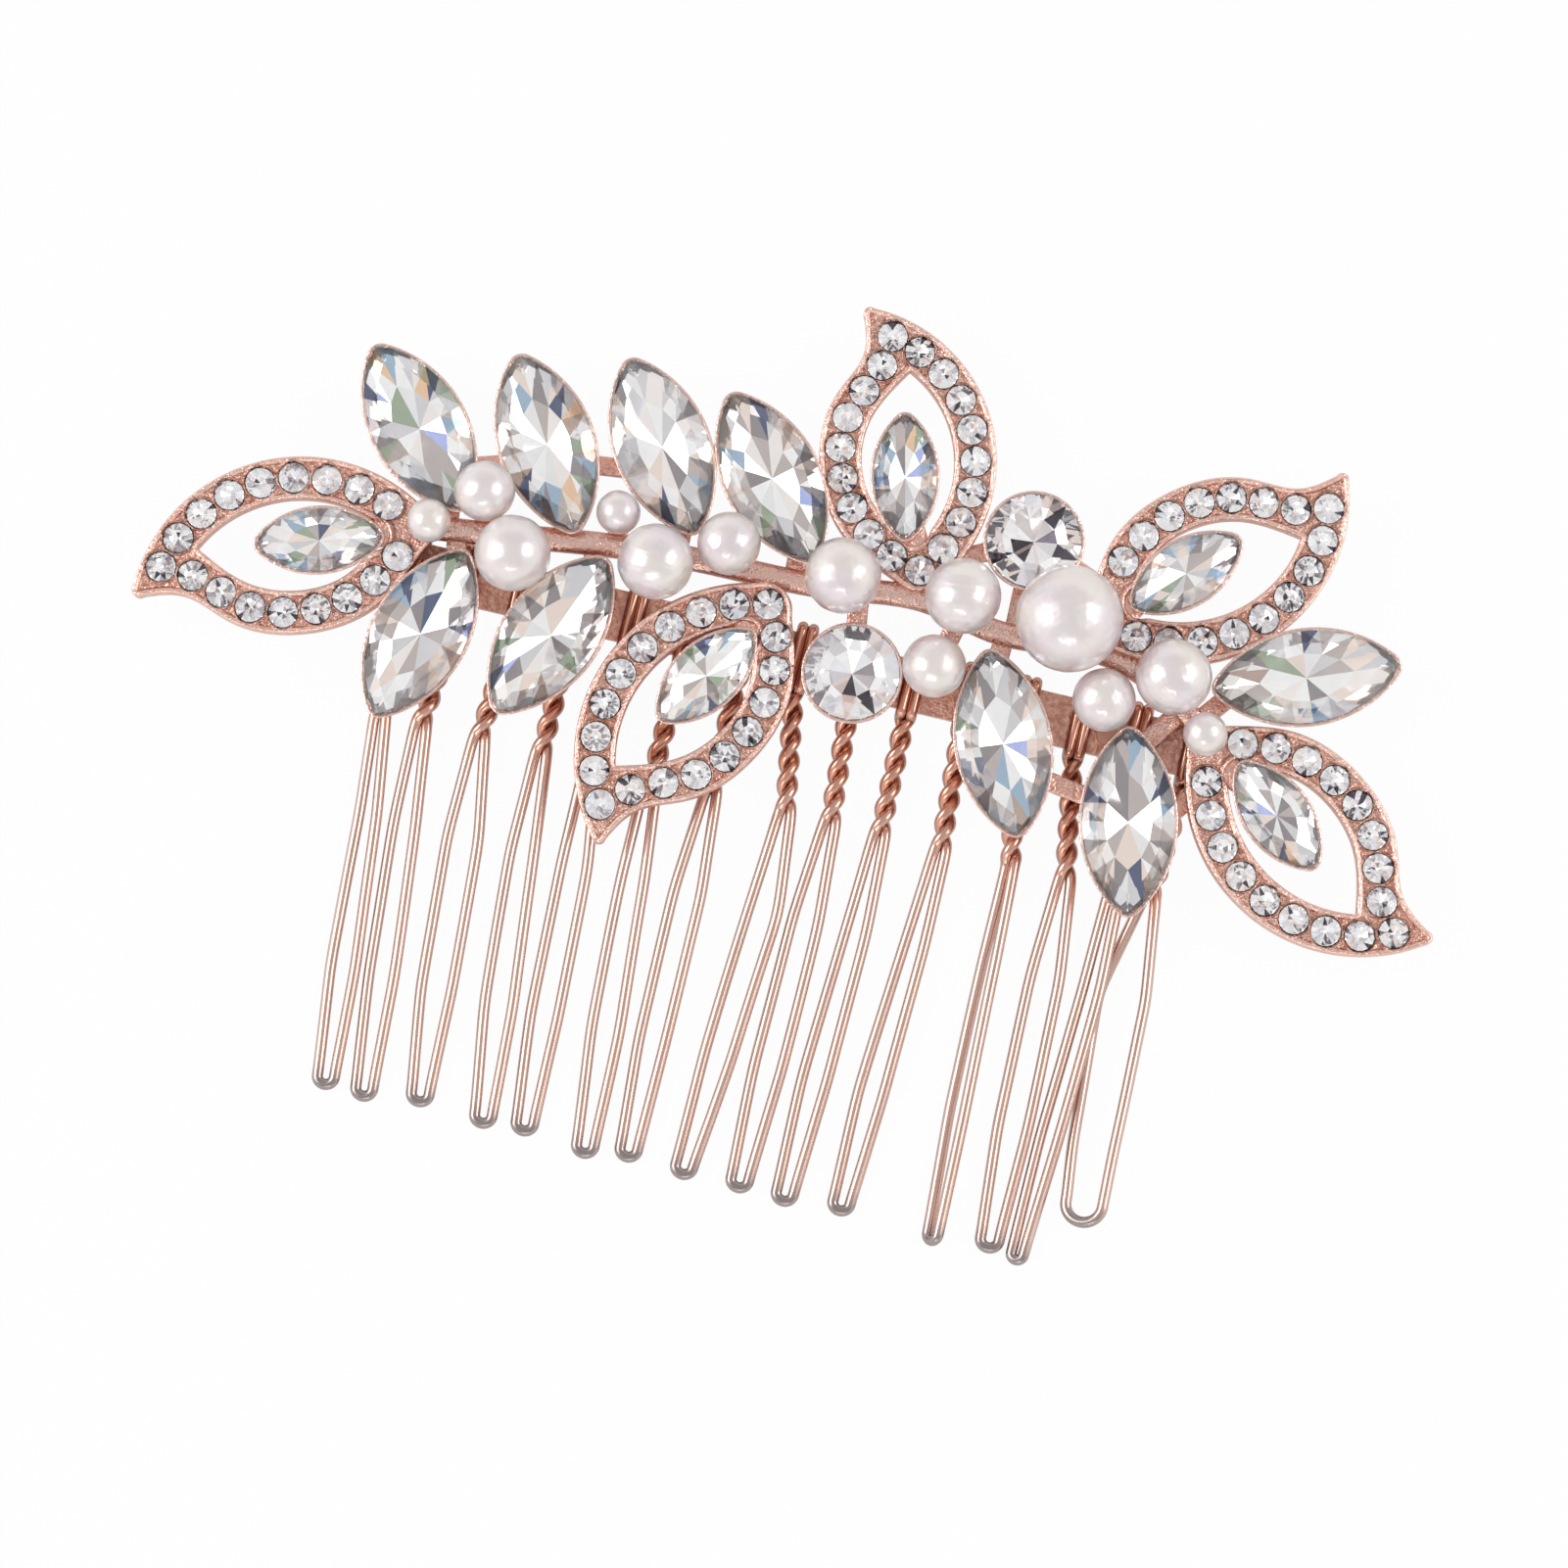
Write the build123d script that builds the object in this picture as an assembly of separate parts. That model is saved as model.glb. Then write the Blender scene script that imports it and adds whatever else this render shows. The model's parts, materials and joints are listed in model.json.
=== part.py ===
from build123d import *
import os
from math import atan2, cos, degrees, dist, hypot, pi, radians, sin

# Decorative hair comb: a cast branch of faceted stones and pearls, soldered to
# a wire comb of hairpin teeth that are wound on a flat bar.
#
# Frame, in millimetres: X runs along the bar, Y from the tips of the teeth to
# the top of the ornament and Z from the back of the comb to its front. The comb
# lies on its back, and the origin is the centre of its footprint. Until the
# last step the pieces are placed from the middle of the bar.

# ---------------------------------------------------------------- wire comb
BAR_WIDTH = 4.0
BAR_THICKNESS = 1.0
BAR_OVERHANG = 1.8  # bar past the middle of each end tooth
BAR_CORNER = 0.8
WIRE = 0.9  # across the flats of the eight-sided wire
WIRE_SIDES = 8
WRAP_CLEARANCE = 0.02
STRAND_BITE = 0.03  # how far two strands press into each other
TOOTH_PITCH = 4.5
NECK_LENGTH = 9.4
NECK_TURNS = 2.5
LOOP_ROOT = 0.15  # how far a loop reaches back into the neck
LEG_GAP = 0.02  # between the two legs where they leave the neck
LEG_BENDS = (8.0, 20.0)  # from the end of the neck to the two bends of a leg
BEND_RADII = (40.0, 25.0)  # radii of those bends
TIP_ROUND = 0.98  # round of the tip over half its width

# One line for each tooth, from left to right. The teeth are bent by hand, so
# each has its own sideways run of the neck and of the loop, its turn about its
# own axis and its length. Its left and right leg have their own places beside
# the loop's axis at the two bends and at the tip.
TEETH = (
    # neck run, loop run, turn, loop length, left leg, right leg
    (0.4, 2.9, 8, 29.2, (-0.5, -1.1, -0.85), (0.9, 0.9, 0.45)),
    (-0.8, 2.7, 8, 29.4, (-1.0, -1.2, -0.8), (0.8, 0.85, 0.5)),
    (-0.6, 2.3, 5, 28.8, (-1.3, -1.4, -0.75), (1.2, 1.05, 0.55)),
    (-0.1, 2.3, 8, 29.3, (-1.2, -1.25, -0.55), (0.7, 1.05, 0.75)),
    (-0.6, 1.8, 5, 29.1, (-0.95, -1.2, -0.8), (1.15, 1.0, 0.5)),
    (-0.2, 1.9, 6, 29.7, (-1.0, -1.3, -0.8), (0.85, 0.95, 0.5)),
    (0.1, 0.4, 6, 29.2, (-1.15, -1.3, -0.75), (1.05, 0.8, 0.55)),
    (1.6, -1.4, 8, 29.5, (-0.65, -0.8, -0.5), (1.7, 1.4, 0.8)),
    (0.7, -0.4, 6, 29.5, (-1.05, -1.1, -0.6), (1.05, 1.1, 0.7)),
    (0.2, -0.7, 8, 29.7, (-0.7, -1.0, -0.65), (0.95, 1.0, 0.65)),
    (0.6, -1.1, 6, 29.4, (-0.75, -1.1, -0.7), (0.8, 0.9, 0.6)),
    (1.7, 0.75, 50, 30.0, (-0.85, -1.1, -0.6), (0.65, 0.7, 0.6)),
    (1.6, 0.7, 4, 29.5, (-1.05, -1.2, -0.6), (1.25, 1.15, 0.75)),
    (1.1, -0.9, 18, 29.9, (-0.45, -0.75, -0.5), (0.95, 0.75, 0.45)),
    (-0.6, 0.6, 20, 25.9, (-2.5, -2.1, -1.45), (1.4, 1.3, 1.4)),
)

# -------------------------------------------------------------- cast branch
CASTING_GAP = 0.02  # between the wound wire and the back of the casting
ARM_THICKNESS = 0.8
ARM_WIDTH = 1.6
STEM_WIDTH = 1.9
STEM_HEIGHT = 1.5
STEM_CROWN = 0.5
STEM_STEPS = 200  # places along the stem that an arm may run to
STEM_POINTS = (
    (-31.4, 3.0),
    (-24.5, 3.9),
    (-18.2, 4.8),
    (-9.0, 5.5),
    (1.8, 5.9),
    (8.6, 6.5),
    (14.5, 5.4),
    (21.5, 5.8),
    (28.2, 4.0),
    (32.6, 0.9),
)
ARM_ROOT_SHARE = 0.36  # where an arm starts under a pointed stone
LEAF_PAD = 3.0
WEB_WIDTH = 1.5
SHORT_RUN = 0.4  # a bar that runs less than this is a plain disc
WEBS = (
    # between neighbouring cups, from one place to the other
    ((-29.5, 8.3), (-26.6, 9.2)),
    ((-19.6, 10.9), (-17.0, 11.2)),
    ((-11.0, 14.0), (-8.6, 13.6)),
    ((20.0, -4.9), (24.6, -5.6)),
    ((31.0, -5.2), (33.4, -2.0)),
    ((10.2, 10.4), (12.6, 11.6)),
    ((18.6, 12.0), (21.6, 10.8)),
)

# ------------------------------------------------------------ pointed stones
STONE_LENGTH = 14.4
STONE_WIDTH = 7.2
STONE_TIP = 0.9  # radius of the rounded ends
SMALL_STONE_LENGTH = 9.7
SMALL_STONE_WIDTH = 4.9
SMALL_STONE_TIP = 0.7
ROUND_STONE = 7.4
GIRDLE_HEIGHT = 2.4  # girdle above the back of the casting
GIRDLE_BAND = 0.25
CROWN_SHARE = 0.19  # crown height over stone width
PAVILION_SHARE = 0.28  # pavilion depth over stone width
TABLE_SHARE = 0.56  # table width over stone width
KEEL_SHARE = (0.4, 0.08)  # keel over stone, along and across
CULET_SHARE = 0.1  # culet over stone, when it is round
SETTING_CLEARANCE = 0.03
BEZEL_WALL = 0.28
BEZEL_LIP = 0.12
CUP_FOOT_SHARE = 0.66  # foot of a cup over its rim
CUP_FLOOR = 0.15

MARQUISE_STONES = {
    # name: x, y, direction of the long axis
    "far_left": (-33.2, 10.3, -48),
    "upper_left": (-23.2, 11.4, -58.5),
    "upper_centre": (-14.37, 13.3, -56),
    "upper_right": (-5.45, 12.9, -50.5),
    "lower_left": (-29.25, -5.4, -105),
    "lower_centre": (-19.3, -3.15, -112),
    "lower_middle": (16.9, -3.2, -68),
    "lower_right": (27.75, -6.9, -77.5),
    "far_right": (38.7, 7.35, 21),
}
ROUND_STONES = {"upper": (15.6, 12.8), "lower": (4.2, -0.6)}

# ------------------------------------------------------------------- leaves
LEAF_BULGE = 5.4  # of the full side
LEAF_HOOKED_BULGE = 5.2
LEAF_BAND = 3.3
LEAF_RIM = 0.32
LEAF_THICKNESS = 1.6
LEAF_LAND = 0.45  # land between the small stones, below the rim
LEAF_JOINT_GAP = 0.03
LEAF_STONE_CENTRE = 7.4  # from the base stone
LEAF_BRIDGE = 2.2  # width of the bridge from the base to the pointed cup
HOOK_REACH = 1.5  # tip past the tip stone, in half bands
HOOK_LIFT = 1.05
HOOK_ROUND = 0.35
NOSE_START = (-0.2, -1.0)  # from the hook's tip, in hook rounds
NOSE_END = (-1.3, 0.45)
CORNER_SHARE = 0.075
# Knots of the hooked side: shares of the leaf's length and of this side's bulge.
HOOKED_SIDE = ((0.23, 0.81), (0.47, 1.0), (0.68, 0.81), (0.86, 0.27))
# Where the outlines leave the full and the hooked side beside the base, and
# the places along the hooked side that they keep beside.
HEEL_SHARES = (0.04, 0.05)
OUTER_SHARES = (0.9, 0.72, 0.5, 0.27)
OPENING_HEEL_SHARES = (0.13, 0.15)
OPENING_SHARES = (0.7, 0.5, 0.3)
OPENING_HEEL = 1.15  # round end of the opening, in half bands
SIDE_STONES = 8
PAVE_STONE = 2.35
PAVE_CROWN = 0.35
PAVE_SINK = 0.2  # girdle of a small stone below the rim's top
PAVE_DEPTH = 0.6
PAVE_FLOOR = 0.05

# Each leaf: the place of its base stone, its direction, the length from the
# base stone to the tip stone, how far its pointed stone lies to the side and
# is turned, what its base holds and how many side seats a pearl covers.
LEAVES = {
    "left": (-31.8, 2.6, -157.5, 19.9, -0.1, -5.5, "pearl", 0),
    "top": (7.45, 8.55, 109.9, 18.6, 0.3, -6.5, "stone", 0),
    "upper_right": (22.5, 7.85, 40.8, 19.7, 0.6, 5.0, "bare", 1),
    "lower_right": (32.6, 0.2, -32.1, 20.2, 0.0, -9.0, "pearl", 0),
    "centre": (-3.4, 3.15, -116.4, 20.4, -0.1, -6.5, "stone", 0),
}

# ------------------------------------------------------------------- pearls
PEARL_SOCKET = 0.02
PEARL_DISH_SHARE = 0.62  # dish radius over pearl radius
DISH_FOOT_SHARE = 0.7
LEAF_PEARLS = (0, 12)  # pearls that stand on the base of a leaf
PEARLS = (
    # x, y, diameter, height of the lowest point above the casting's back
    (-30.5, 3.1, 3.5, 2.6),
    (-26.8, 6.3, 4.8, 2.4),
    (-23.5, 2.0, 6.0, 2.3),
    (-16.4, 7.3, 3.5, 1.6),
    (-12.6, 4.0, 6.0, 1.8),
    (-7.4, 6.8, 5.0, 1.8),
    (1.8, 6.3, 6.0, 2.2),
    (11.2, 6.9, 6.0, 2.2),
    (10.3, 1.2, 5.0, 1.6),
    (19.6, 6.9, 8.4, 2.4),
    (23.7, 1.7, 5.0, 1.6),
    (28.5, 4.6, 6.0, 2.0),
    (31.9, 0.9, 3.5, 2.6),
)

# -------------------------------------------------------------------- seats
SOLDER_RADIUS = 0.9
SOLDER_PLACES = ((-6.5, 0.3), (-4.5, 0.3), (0.5, 0.2), (3.5, 0.2), (5.5, -0.3))

# ----------------------------------------------------- heights worked out
WIRE_RADIUS = WIRE / 2
BAR_BACK = WIRE + WRAP_CLEARANCE
BAR_MIDDLE = BAR_BACK + BAR_THICKNESS / 2
BAR_FRONT = BAR_BACK + BAR_THICKNESS
CASTING_BACK = BAR_FRONT + WRAP_CLEARANCE + WIRE + CASTING_GAP
ARM_FRONT = CASTING_BACK + ARM_THICKNESS
LEAF_FRONT = ARM_FRONT + LEAF_THICKNESS
LAND_TOP = LEAF_FRONT - LEAF_LAND
GIRDLE = CASTING_BACK + GIRDLE_HEIGHT
PAVE_GIRDLE = LEAF_FRONT - PAVE_SINK
BAR_LENGTH = (len(TEETH) - 1) * TOOTH_PITCH + 2 * BAR_OVERHANG


# ------------------------------------------------------------- the wire comb
def wire_section(plane):
    """The eight-sided section of the wire, flat side to the bar."""
    return plane * RegularPolygon(WIRE_RADIUS, WIRE_SIDES, major_radius=False, rotation=180 / WIRE_SIDES)


def comb_bar():
    """The flat strip that the teeth are wound on, with rounded corners."""
    strip = RectangleRounded(BAR_LENGTH, BAR_WIDTH, BAR_CORNER)
    return Pos(0, 0, BAR_BACK) * extrude(strip, BAR_THICKNESS)


def wrap(x):
    """One turn of wire round the bar, closed on itself."""
    reach = WRAP_CLEARANCE + WIRE_RADIUS
    height = BAR_THICKNESS + 2 * reach
    width = BAR_WIDTH + 2 * reach
    turn_plane = Plane(origin=(x, 0, BAR_MIDDLE), x_dir=(0, 1, 0), z_dir=(1, 0, 0))
    path = (turn_plane * RectangleRounded(width, height, reach)).face().outer_wire()
    return sweep(wire_section(Plane(origin=path @ 0, z_dir=path % 0)), path)


def tooth_x(index):
    """The place of a tooth along the bar."""
    return (index - (len(TEETH) - 1) / 2) * TOOTH_PITCH


def comb_tooth(index):
    """One hairpin: two wraps on the bar, a twisted neck and a long loop."""
    neck_run, loop_run, turn, length, left, right = TEETH[index]
    x = tooth_x(index)
    strand = WIRE_RADIUS - STRAND_BITE
    wraps = [wrap(x - strand), wrap(x + strand)]

    top = Vector(x, -(BAR_WIDTH / 2 + WRAP_CLEARANCE + WIRE_RADIUS), BAR_MIDDLE)
    neck_end = top + Vector(neck_run, -NECK_LENGTH, 0)
    widest = max(-min(left), max(right))
    tip_rise = WIRE_RADIUS + widest * sin(radians(turn))
    loop_end = Vector(neck_end.X + loop_run, neck_end.Y - length, tip_rise)

    neck = neck_end - top
    across = Vector(-neck.Y, neck.X, 0).normalized()
    neck_plane = Plane(origin=top, x_dir=across, z_dir=neck)
    pair = wire_section(neck_plane * Pos(-strand, 0, 0)) + wire_section(neck_plane * Pos(strand, 0, 0))
    twist = 360 * NECK_TURNS + turn
    twisted = Solid.extrude_linear_with_rotation(pair.face(), top, neck, twist)

    axis = loop_end - neck_end
    flat = Vector(-axis.Y, axis.X, 0).normalized()
    side = flat.rotate(Axis((0, 0, 0), axis), turn)
    loop_plane = Plane(origin=neck_end, x_dir=side, z_dir=side.cross(axis))
    leg = WIRE_RADIUS + LEG_GAP / 2
    downs = (-LOOP_ROOT, *LEG_BENDS, axis.length)
    right_leg = list(zip((leg, *right), downs))
    left_leg = list(zip((-leg, *left), downs))
    corner = TIP_ROUND * (right[-1] - left[-1]) / 2
    radii = [*BEND_RADII, corner, corner, *reversed(BEND_RADII)]
    line = (loop_plane * FilletPolyline(*right_leg, *reversed(left_leg), radius=radii)).wire()
    loop = sweep(wire_section(Plane(origin=line @ 0, x_dir=side, z_dir=line % 0)), line)
    return fuse([*wraps, twisted, loop])


# ------------------------------------------------------------ shared shapes
def fuse(shapes):
    """One solid from shapes that meet."""
    first, *others = shapes
    return first.fuse(*others) if others else first


def navette_arcs(length, width, tip):
    """The radius of an oval's long arcs and the point where its tips begin."""
    end, half = length / 2 - tip, width / 2
    radius = (end**2 + half**2 - tip**2) / (2 * (half - tip))
    beyond = tip / (radius - tip)
    return radius, (end * (1 + beyond), (radius - half) * beyond)


def navette(length, width, tip):
    """A pointed oval along X: two long arcs that run into rounded tips."""
    _, (x, y) = navette_arcs(length, width, tip)
    upper = ThreePointArc((-x, y), (0, width / 2), (x, y))
    right = ThreePointArc((x, y), (length / 2, 0), (x, -y))
    lower = ThreePointArc((x, -y), (0, -width / 2), (-x, -y))
    left = ThreePointArc((-x, -y), (-length / 2, 0), (-x, y))
    return make_face([upper.edge(), right.edge(), lower.edge(), left.edge()])


def tapered(outline, low, high):
    """A solid that widens from a foot to its full outline."""
    foot = Pos(0, 0, low) * scale(outline, by=CUP_FOOT_SHARE)
    return loft([foot, Pos(0, 0, high) * outline])


def cup(outline, back, girdle):
    """A tapered cup whose thin lip stands just above the stone's girdle."""
    return tapered(outline(BEZEL_WALL), back, girdle + BEZEL_LIP)


def room(outline, back, girdle):
    """The room for a stone: sloped below its girdle, straight above it."""
    shape = outline(SETTING_CLEARANCE)
    above = Pos(0, 0, girdle) * extrude(shape, GIRDLE_HEIGHT)
    return fuse([tapered(shape, back + CUP_FLOOR, girdle), above])


def large_outline(growth):
    """The outline of a large pointed stone, grown on every side."""
    return navette(STONE_LENGTH + 2 * growth, STONE_WIDTH + 2 * growth, STONE_TIP + growth)


def small_outline(growth):
    """The outline of a leaf's pointed stone, grown on every side."""
    length, width = SMALL_STONE_LENGTH + 2 * growth, SMALL_STONE_WIDTH + 2 * growth
    return navette(length, width, SMALL_STONE_TIP + growth)


def round_outline(growth):
    """The outline of a round stone, grown on every side."""
    return Circle(ROUND_STONE / 2 + growth).face()


def bar_between(start, end, width, low, high):
    """A round-ended flat bar from one place to another."""
    run = (end[0] - start[0], end[1] - start[1])
    length = hypot(*run)
    if length < SHORT_RUN:
        slot = Circle(width / 2)
    else:
        slot = SlotCenterToCenter(length, width)
    middle = ((start[0] + end[0]) / 2, (start[1] + end[1]) / 2)
    place = Pos(*middle, low) * Rot(0, 0, degrees(atan2(run[1], run[0])))
    return place * extrude(slot, high - low)


# ------------------------------------------------------------------- stones
def faceted(rings):
    """A closed solid with flat ends and facets between rings of points."""
    faces = [polygon(rings[0]), polygon(rings[-1])]
    for lower, upper in zip(rings, rings[1:]):
        faces += facet_row(lower, upper)
    return Solid(Shell(faces))


def polygon(points):
    """A flat face with straight edges."""
    return Face(Wire.make_polygon(points))


def facet_row(lower, upper):
    """The facets between two rings, of which one may be twice as dense."""
    if len(lower) == len(upper):
        count = len(lower)
        return [polygon([lower[i - 1], lower[i], upper[i], upper[i - 1]]) for i in range(count)]
    dense, sparse = sorted((lower, upper), key=len, reverse=True)
    faces = []
    for i in range(len(sparse)):
        left, middle, right = dense[2 * i - 2], dense[2 * i - 1], dense[2 * i]
        faces.append(polygon([left, middle, sparse[i - 1]]))
        faces.append(polygon([middle, right, sparse[i]]))
        faces.append(polygon([middle, sparse[i], sparse[i - 1]]))
    return faces


def navette_ring(size, count, height, share=(1.0, 1.0)):
    """Points round a pointed oval, as even along it as round a circle."""
    length, width, tip = size
    radius, (tip_start, _) = navette_arcs(*size)
    points = []
    for i in range(count):
        angle = 2 * pi * i / count
        x = length / 2 * cos(angle)
        if abs(x) > tip_start:
            y = max(tip**2 - (abs(x) - length / 2 + tip) ** 2, 0) ** 0.5
        else:
            y = (radius**2 - x**2) ** 0.5 - radius + width / 2
        side = 1 if sin(angle) > 0 else -1
        points.append((x * share[0], side * y * share[1], height))
    return points


def round_ring(diameter, count, height):
    """Points spread evenly over a circle."""
    radius = diameter / 2
    angles = [2 * pi * i / count for i in range(count)]
    return [(radius * cos(angle), radius * sin(angle), height) for angle in angles]


def marquise_stone(*size):
    """A navette: a table, kite and star facets, a girdle and a short keel."""
    crown = size[1] * CROWN_SHARE
    depth = size[1] * PAVILION_SHARE
    return faceted(
        [
            navette_ring(size, 8, -depth, KEEL_SHARE),
            navette_ring(size, 16, 0),
            navette_ring(size, 16, GIRDLE_BAND),
            navette_ring(size, 8, GIRDLE_BAND + crown, (TABLE_SHARE, TABLE_SHARE)),
        ]
    )


def round_stone(diameter):
    """A round chaton: a table, eight kites, a girdle and a small culet."""
    crown = diameter * CROWN_SHARE
    depth = diameter * PAVILION_SHARE
    return faceted(
        [
            round_ring(diameter * CULET_SHARE, 8, -depth),
            round_ring(diameter, 16, 0),
            round_ring(diameter, 16, GIRDLE_BAND),
            round_ring(diameter * TABLE_SHARE, 8, GIRDLE_BAND + crown),
        ]
    )


def pave_stone():
    """One of the small round stones that line a leaf."""
    return faceted(
        [
            round_ring(PAVE_STONE * CULET_SHARE, 6, -PAVE_DEPTH),
            round_ring(PAVE_STONE, 12, 0),
            round_ring(PAVE_STONE * TABLE_SHARE, 6, PAVE_CROWN),
        ]
    )


# ------------------------------------------------------------------- leaves
def leaf_sides(length):
    """The two middle lines of a leaf's band: the full side and the hooked one."""
    full = ThreePointArc((0, 0), (length / 2, -LEAF_BULGE), (length, 0)).edge()
    knots = [(along * length, across * LEAF_HOOKED_BULGE) for along, across in HOOKED_SIDE]
    hooked = Spline((0, 0), *knots, (length, 0)).edge()
    return full, hooked


def beside(line, share, distance):
    """A point beside a line, on its right as the line runs to the tip."""
    point, run = line.position_at(share), line.tangent_at(share)
    return (point.X + run.Y * distance, point.Y - run.X * distance)


def leaf_outline(length, half_band):
    """The outer outline of a leaf whose band is this much on either side."""
    full, hooked = leaf_sides(length)
    right_foot = beside(full, HEEL_SHARES[0], half_band)
    left_foot = beside(hooked, HEEL_SHARES[1], -half_band)
    tip = (length + half_band * HOOK_REACH, half_band * HOOK_LIFT)
    round_end = half_band * HOOK_ROUND
    before, after = [(tip[0] + round_end * x, tip[1] + round_end * y) for x, y in (NOSE_START, NOSE_END)]
    outer = ThreePointArc(right_foot, (length / 2, -LEAF_BULGE - half_band), before)
    nose = ThreePointArc(before, tip, after)
    inner_curve = [beside(hooked, share, -half_band) for share in OUTER_SHARES]
    back = Spline(after, *inner_curve, left_foot)
    heel = ThreePointArc(left_foot, (-half_band, 0), right_foot)
    return make_face([outer.edge(), nose.edge(), back.edge(), heel.edge()])


def leaf_opening(length, half_band):
    """The opening inside a leaf's band."""
    full, hooked = leaf_sides(length)
    right_foot = beside(full, OPENING_HEEL_SHARES[0], -half_band)
    left_foot = beside(hooked, OPENING_HEEL_SHARES[1], half_band)
    corner = beside(full, 1 - half_band * CORNER_SHARE, -half_band)
    right = ThreePointArc(right_foot, (length / 2, -LEAF_BULGE + half_band), corner)
    inner_curve = [beside(hooked, share, half_band) for share in OPENING_SHARES]
    left = Spline(corner, *inner_curve, left_foot)
    heel = ThreePointArc(left_foot, (half_band * OPENING_HEEL, 0), right_foot)
    return make_face([right.edge(), left.edge(), heel.edge()])


def leaf_seats(name):
    """Places of the small round stones: base, both sides and tip."""
    length, kind, covered = LEAVES[name][3], *LEAVES[name][6:]
    full, hooked = leaf_sides(length)
    steps = [i / (SIDE_STONES + 1) for i in range(1, SIDE_STONES + 1)]
    seats = [full.position_at(share) for share in steps]
    seats += [hooked.position_at(share) for share in steps[covered:]]
    seats.append(Vector(length, 0, 0))
    if kind == "stone":
        seats.append(Vector(0, 0, 0))
    return seats


def leaf_place(name):
    """Where a leaf's own frame lies on the comb."""
    x, y, direction = LEAVES[name][:3]
    return Pos(x, y, 0) * Rot(0, 0, direction)


def leaf_stone_place(name):
    """Where the pointed stone lies in a leaf's own frame."""
    across, turn = LEAVES[name][4:6]
    return Pos(LEAF_STONE_CENTRE, across, 0) * Rot(0, 0, turn)


def leaf_frame(name):
    """A leaf casting: a rimmed band with round seats, and a pointed cup."""
    length, across = LEAVES[name][3:5]
    half = LEAF_BAND / 2
    band = leaf_outline(length, half) - leaf_opening(length, half)
    body = Pos(0, 0, ARM_FRONT) * extrude(band, LEAF_THICKNESS)
    inner = half - LEAF_RIM
    channel = extrude(leaf_outline(length, inner) - leaf_opening(length, inner), LEAF_THICKNESS)
    body -= Pos(0, 0, LAND_TOP) * channel
    middle = leaf_stone_place(name)
    bridge = bar_between((0, 0), (LEAF_STONE_CENTRE, across), LEAF_BRIDGE, ARM_FRONT, LAND_TOP)
    body = fuse([body, bridge, middle * cup(small_outline, ARM_FRONT, LEAF_FRONT)])
    body -= middle * room(small_outline, ARM_FRONT, LEAF_FRONT)
    seat = extrude(Circle(PAVE_STONE / 2 + SETTING_CLEARANCE), LEAF_THICKNESS)
    for point in leaf_seats(name):
        body -= Pos(point.X, point.Y, PAVE_GIRDLE - PAVE_DEPTH - PAVE_FLOOR) * seat
    return cut_pearl_sockets(leaf_place(name) * body)


def leaf_stone(name):
    """The pointed stone in the middle of a leaf."""
    stone = marquise_stone(SMALL_STONE_LENGTH, SMALL_STONE_WIDTH, SMALL_STONE_TIP)
    return leaf_place(name) * Pos(0, 0, LEAF_FRONT) * leaf_stone_place(name) * stone


def pave_stones(name):
    """The small round stones of one leaf."""
    stone = pave_stone()
    place = leaf_place(name)
    return Compound([place * Pos(point.X, point.Y, PAVE_GIRDLE) * stone for point in leaf_seats(name)])


# ------------------------------------------------------------------- pearls
def pearl_centre(index):
    """The centre of a pearl."""
    x, y, diameter, lift = PEARLS[index]
    return Pos(x, y, CASTING_BACK + lift + diameter / 2)


def pearl(index):
    """One round pearl."""
    return pearl_centre(index) * Sphere(PEARLS[index][2] / 2)


def cut_pearl_sockets(body):
    """The body with a round socket wherever it carries a pearl."""
    box = body.bounding_box()
    for index, (x, y, diameter, _) in enumerate(PEARLS):
        radius = diameter / 2 + PEARL_SOCKET
        near_x = box.min.X - radius < x < box.max.X + radius
        near_y = box.min.Y - radius < y < box.max.Y + radius
        if near_x and near_y:
            body -= pearl_centre(index) * Sphere(radius)
    return body


def pearl_dish(index):
    """The flared dish under a pearl, up to the pearl's lower side."""
    x, y, diameter, lift = PEARLS[index]
    mouth = diameter / 2 * PEARL_DISH_SHARE
    height = lift + diameter / 2 * (1 - (1 - PEARL_DISH_SHARE**2) ** 0.5)
    dish = Cone(mouth * DISH_FOOT_SHARE, mouth, height, align=(Align.CENTER, Align.CENTER, Align.MIN))
    return Pos(x, y, CASTING_BACK) * dish


# -------------------------------------------------------------- cast branch
def stem_line():
    """The middle line of the stem, seen from the front."""
    return Spline(*STEM_POINTS).edge()


def stem():
    """The stem: a strip that follows its line, with a crowned front."""
    line = stem_line()
    start = Plane(origin=line @ 0, x_dir=(0, 0, 1), z_dir=line % 0)
    half = STEM_WIDTH / 2
    side = STEM_HEIGHT - STEM_CROWN
    back = Line((0, half), (0, -half))
    right = Line((0, -half), (side, -half))
    front = ThreePointArc((side, -half), (STEM_HEIGHT, 0), (side, half))
    left = Line((side, half), (0, half))
    section = make_face([back.edge(), right.edge(), front.edge(), left.edge()])
    return Pos(0, 0, CASTING_BACK) * sweep(start * section, line)


def nearest_on_stem(x, y):
    """The place on the stem's line that is nearest to a point."""
    line = stem_line()
    points = [line.position_at(i / STEM_STEPS) for i in range(STEM_STEPS + 1)]
    return min(((point.X, point.Y) for point in points), key=lambda place: dist(place, (x, y)))


def arm(x, y, width=ARM_WIDTH):
    """A flat arm from a place on the ornament to the stem."""
    return bar_between((x, y), nearest_on_stem(x, y), width, CASTING_BACK, ARM_FRONT)


def marquise_place(name):
    """Where a large pointed stone lies: its girdle's middle."""
    x, y, direction = MARQUISE_STONES[name]
    return Pos(x, y, 0) * Rot(0, 0, direction)


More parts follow.
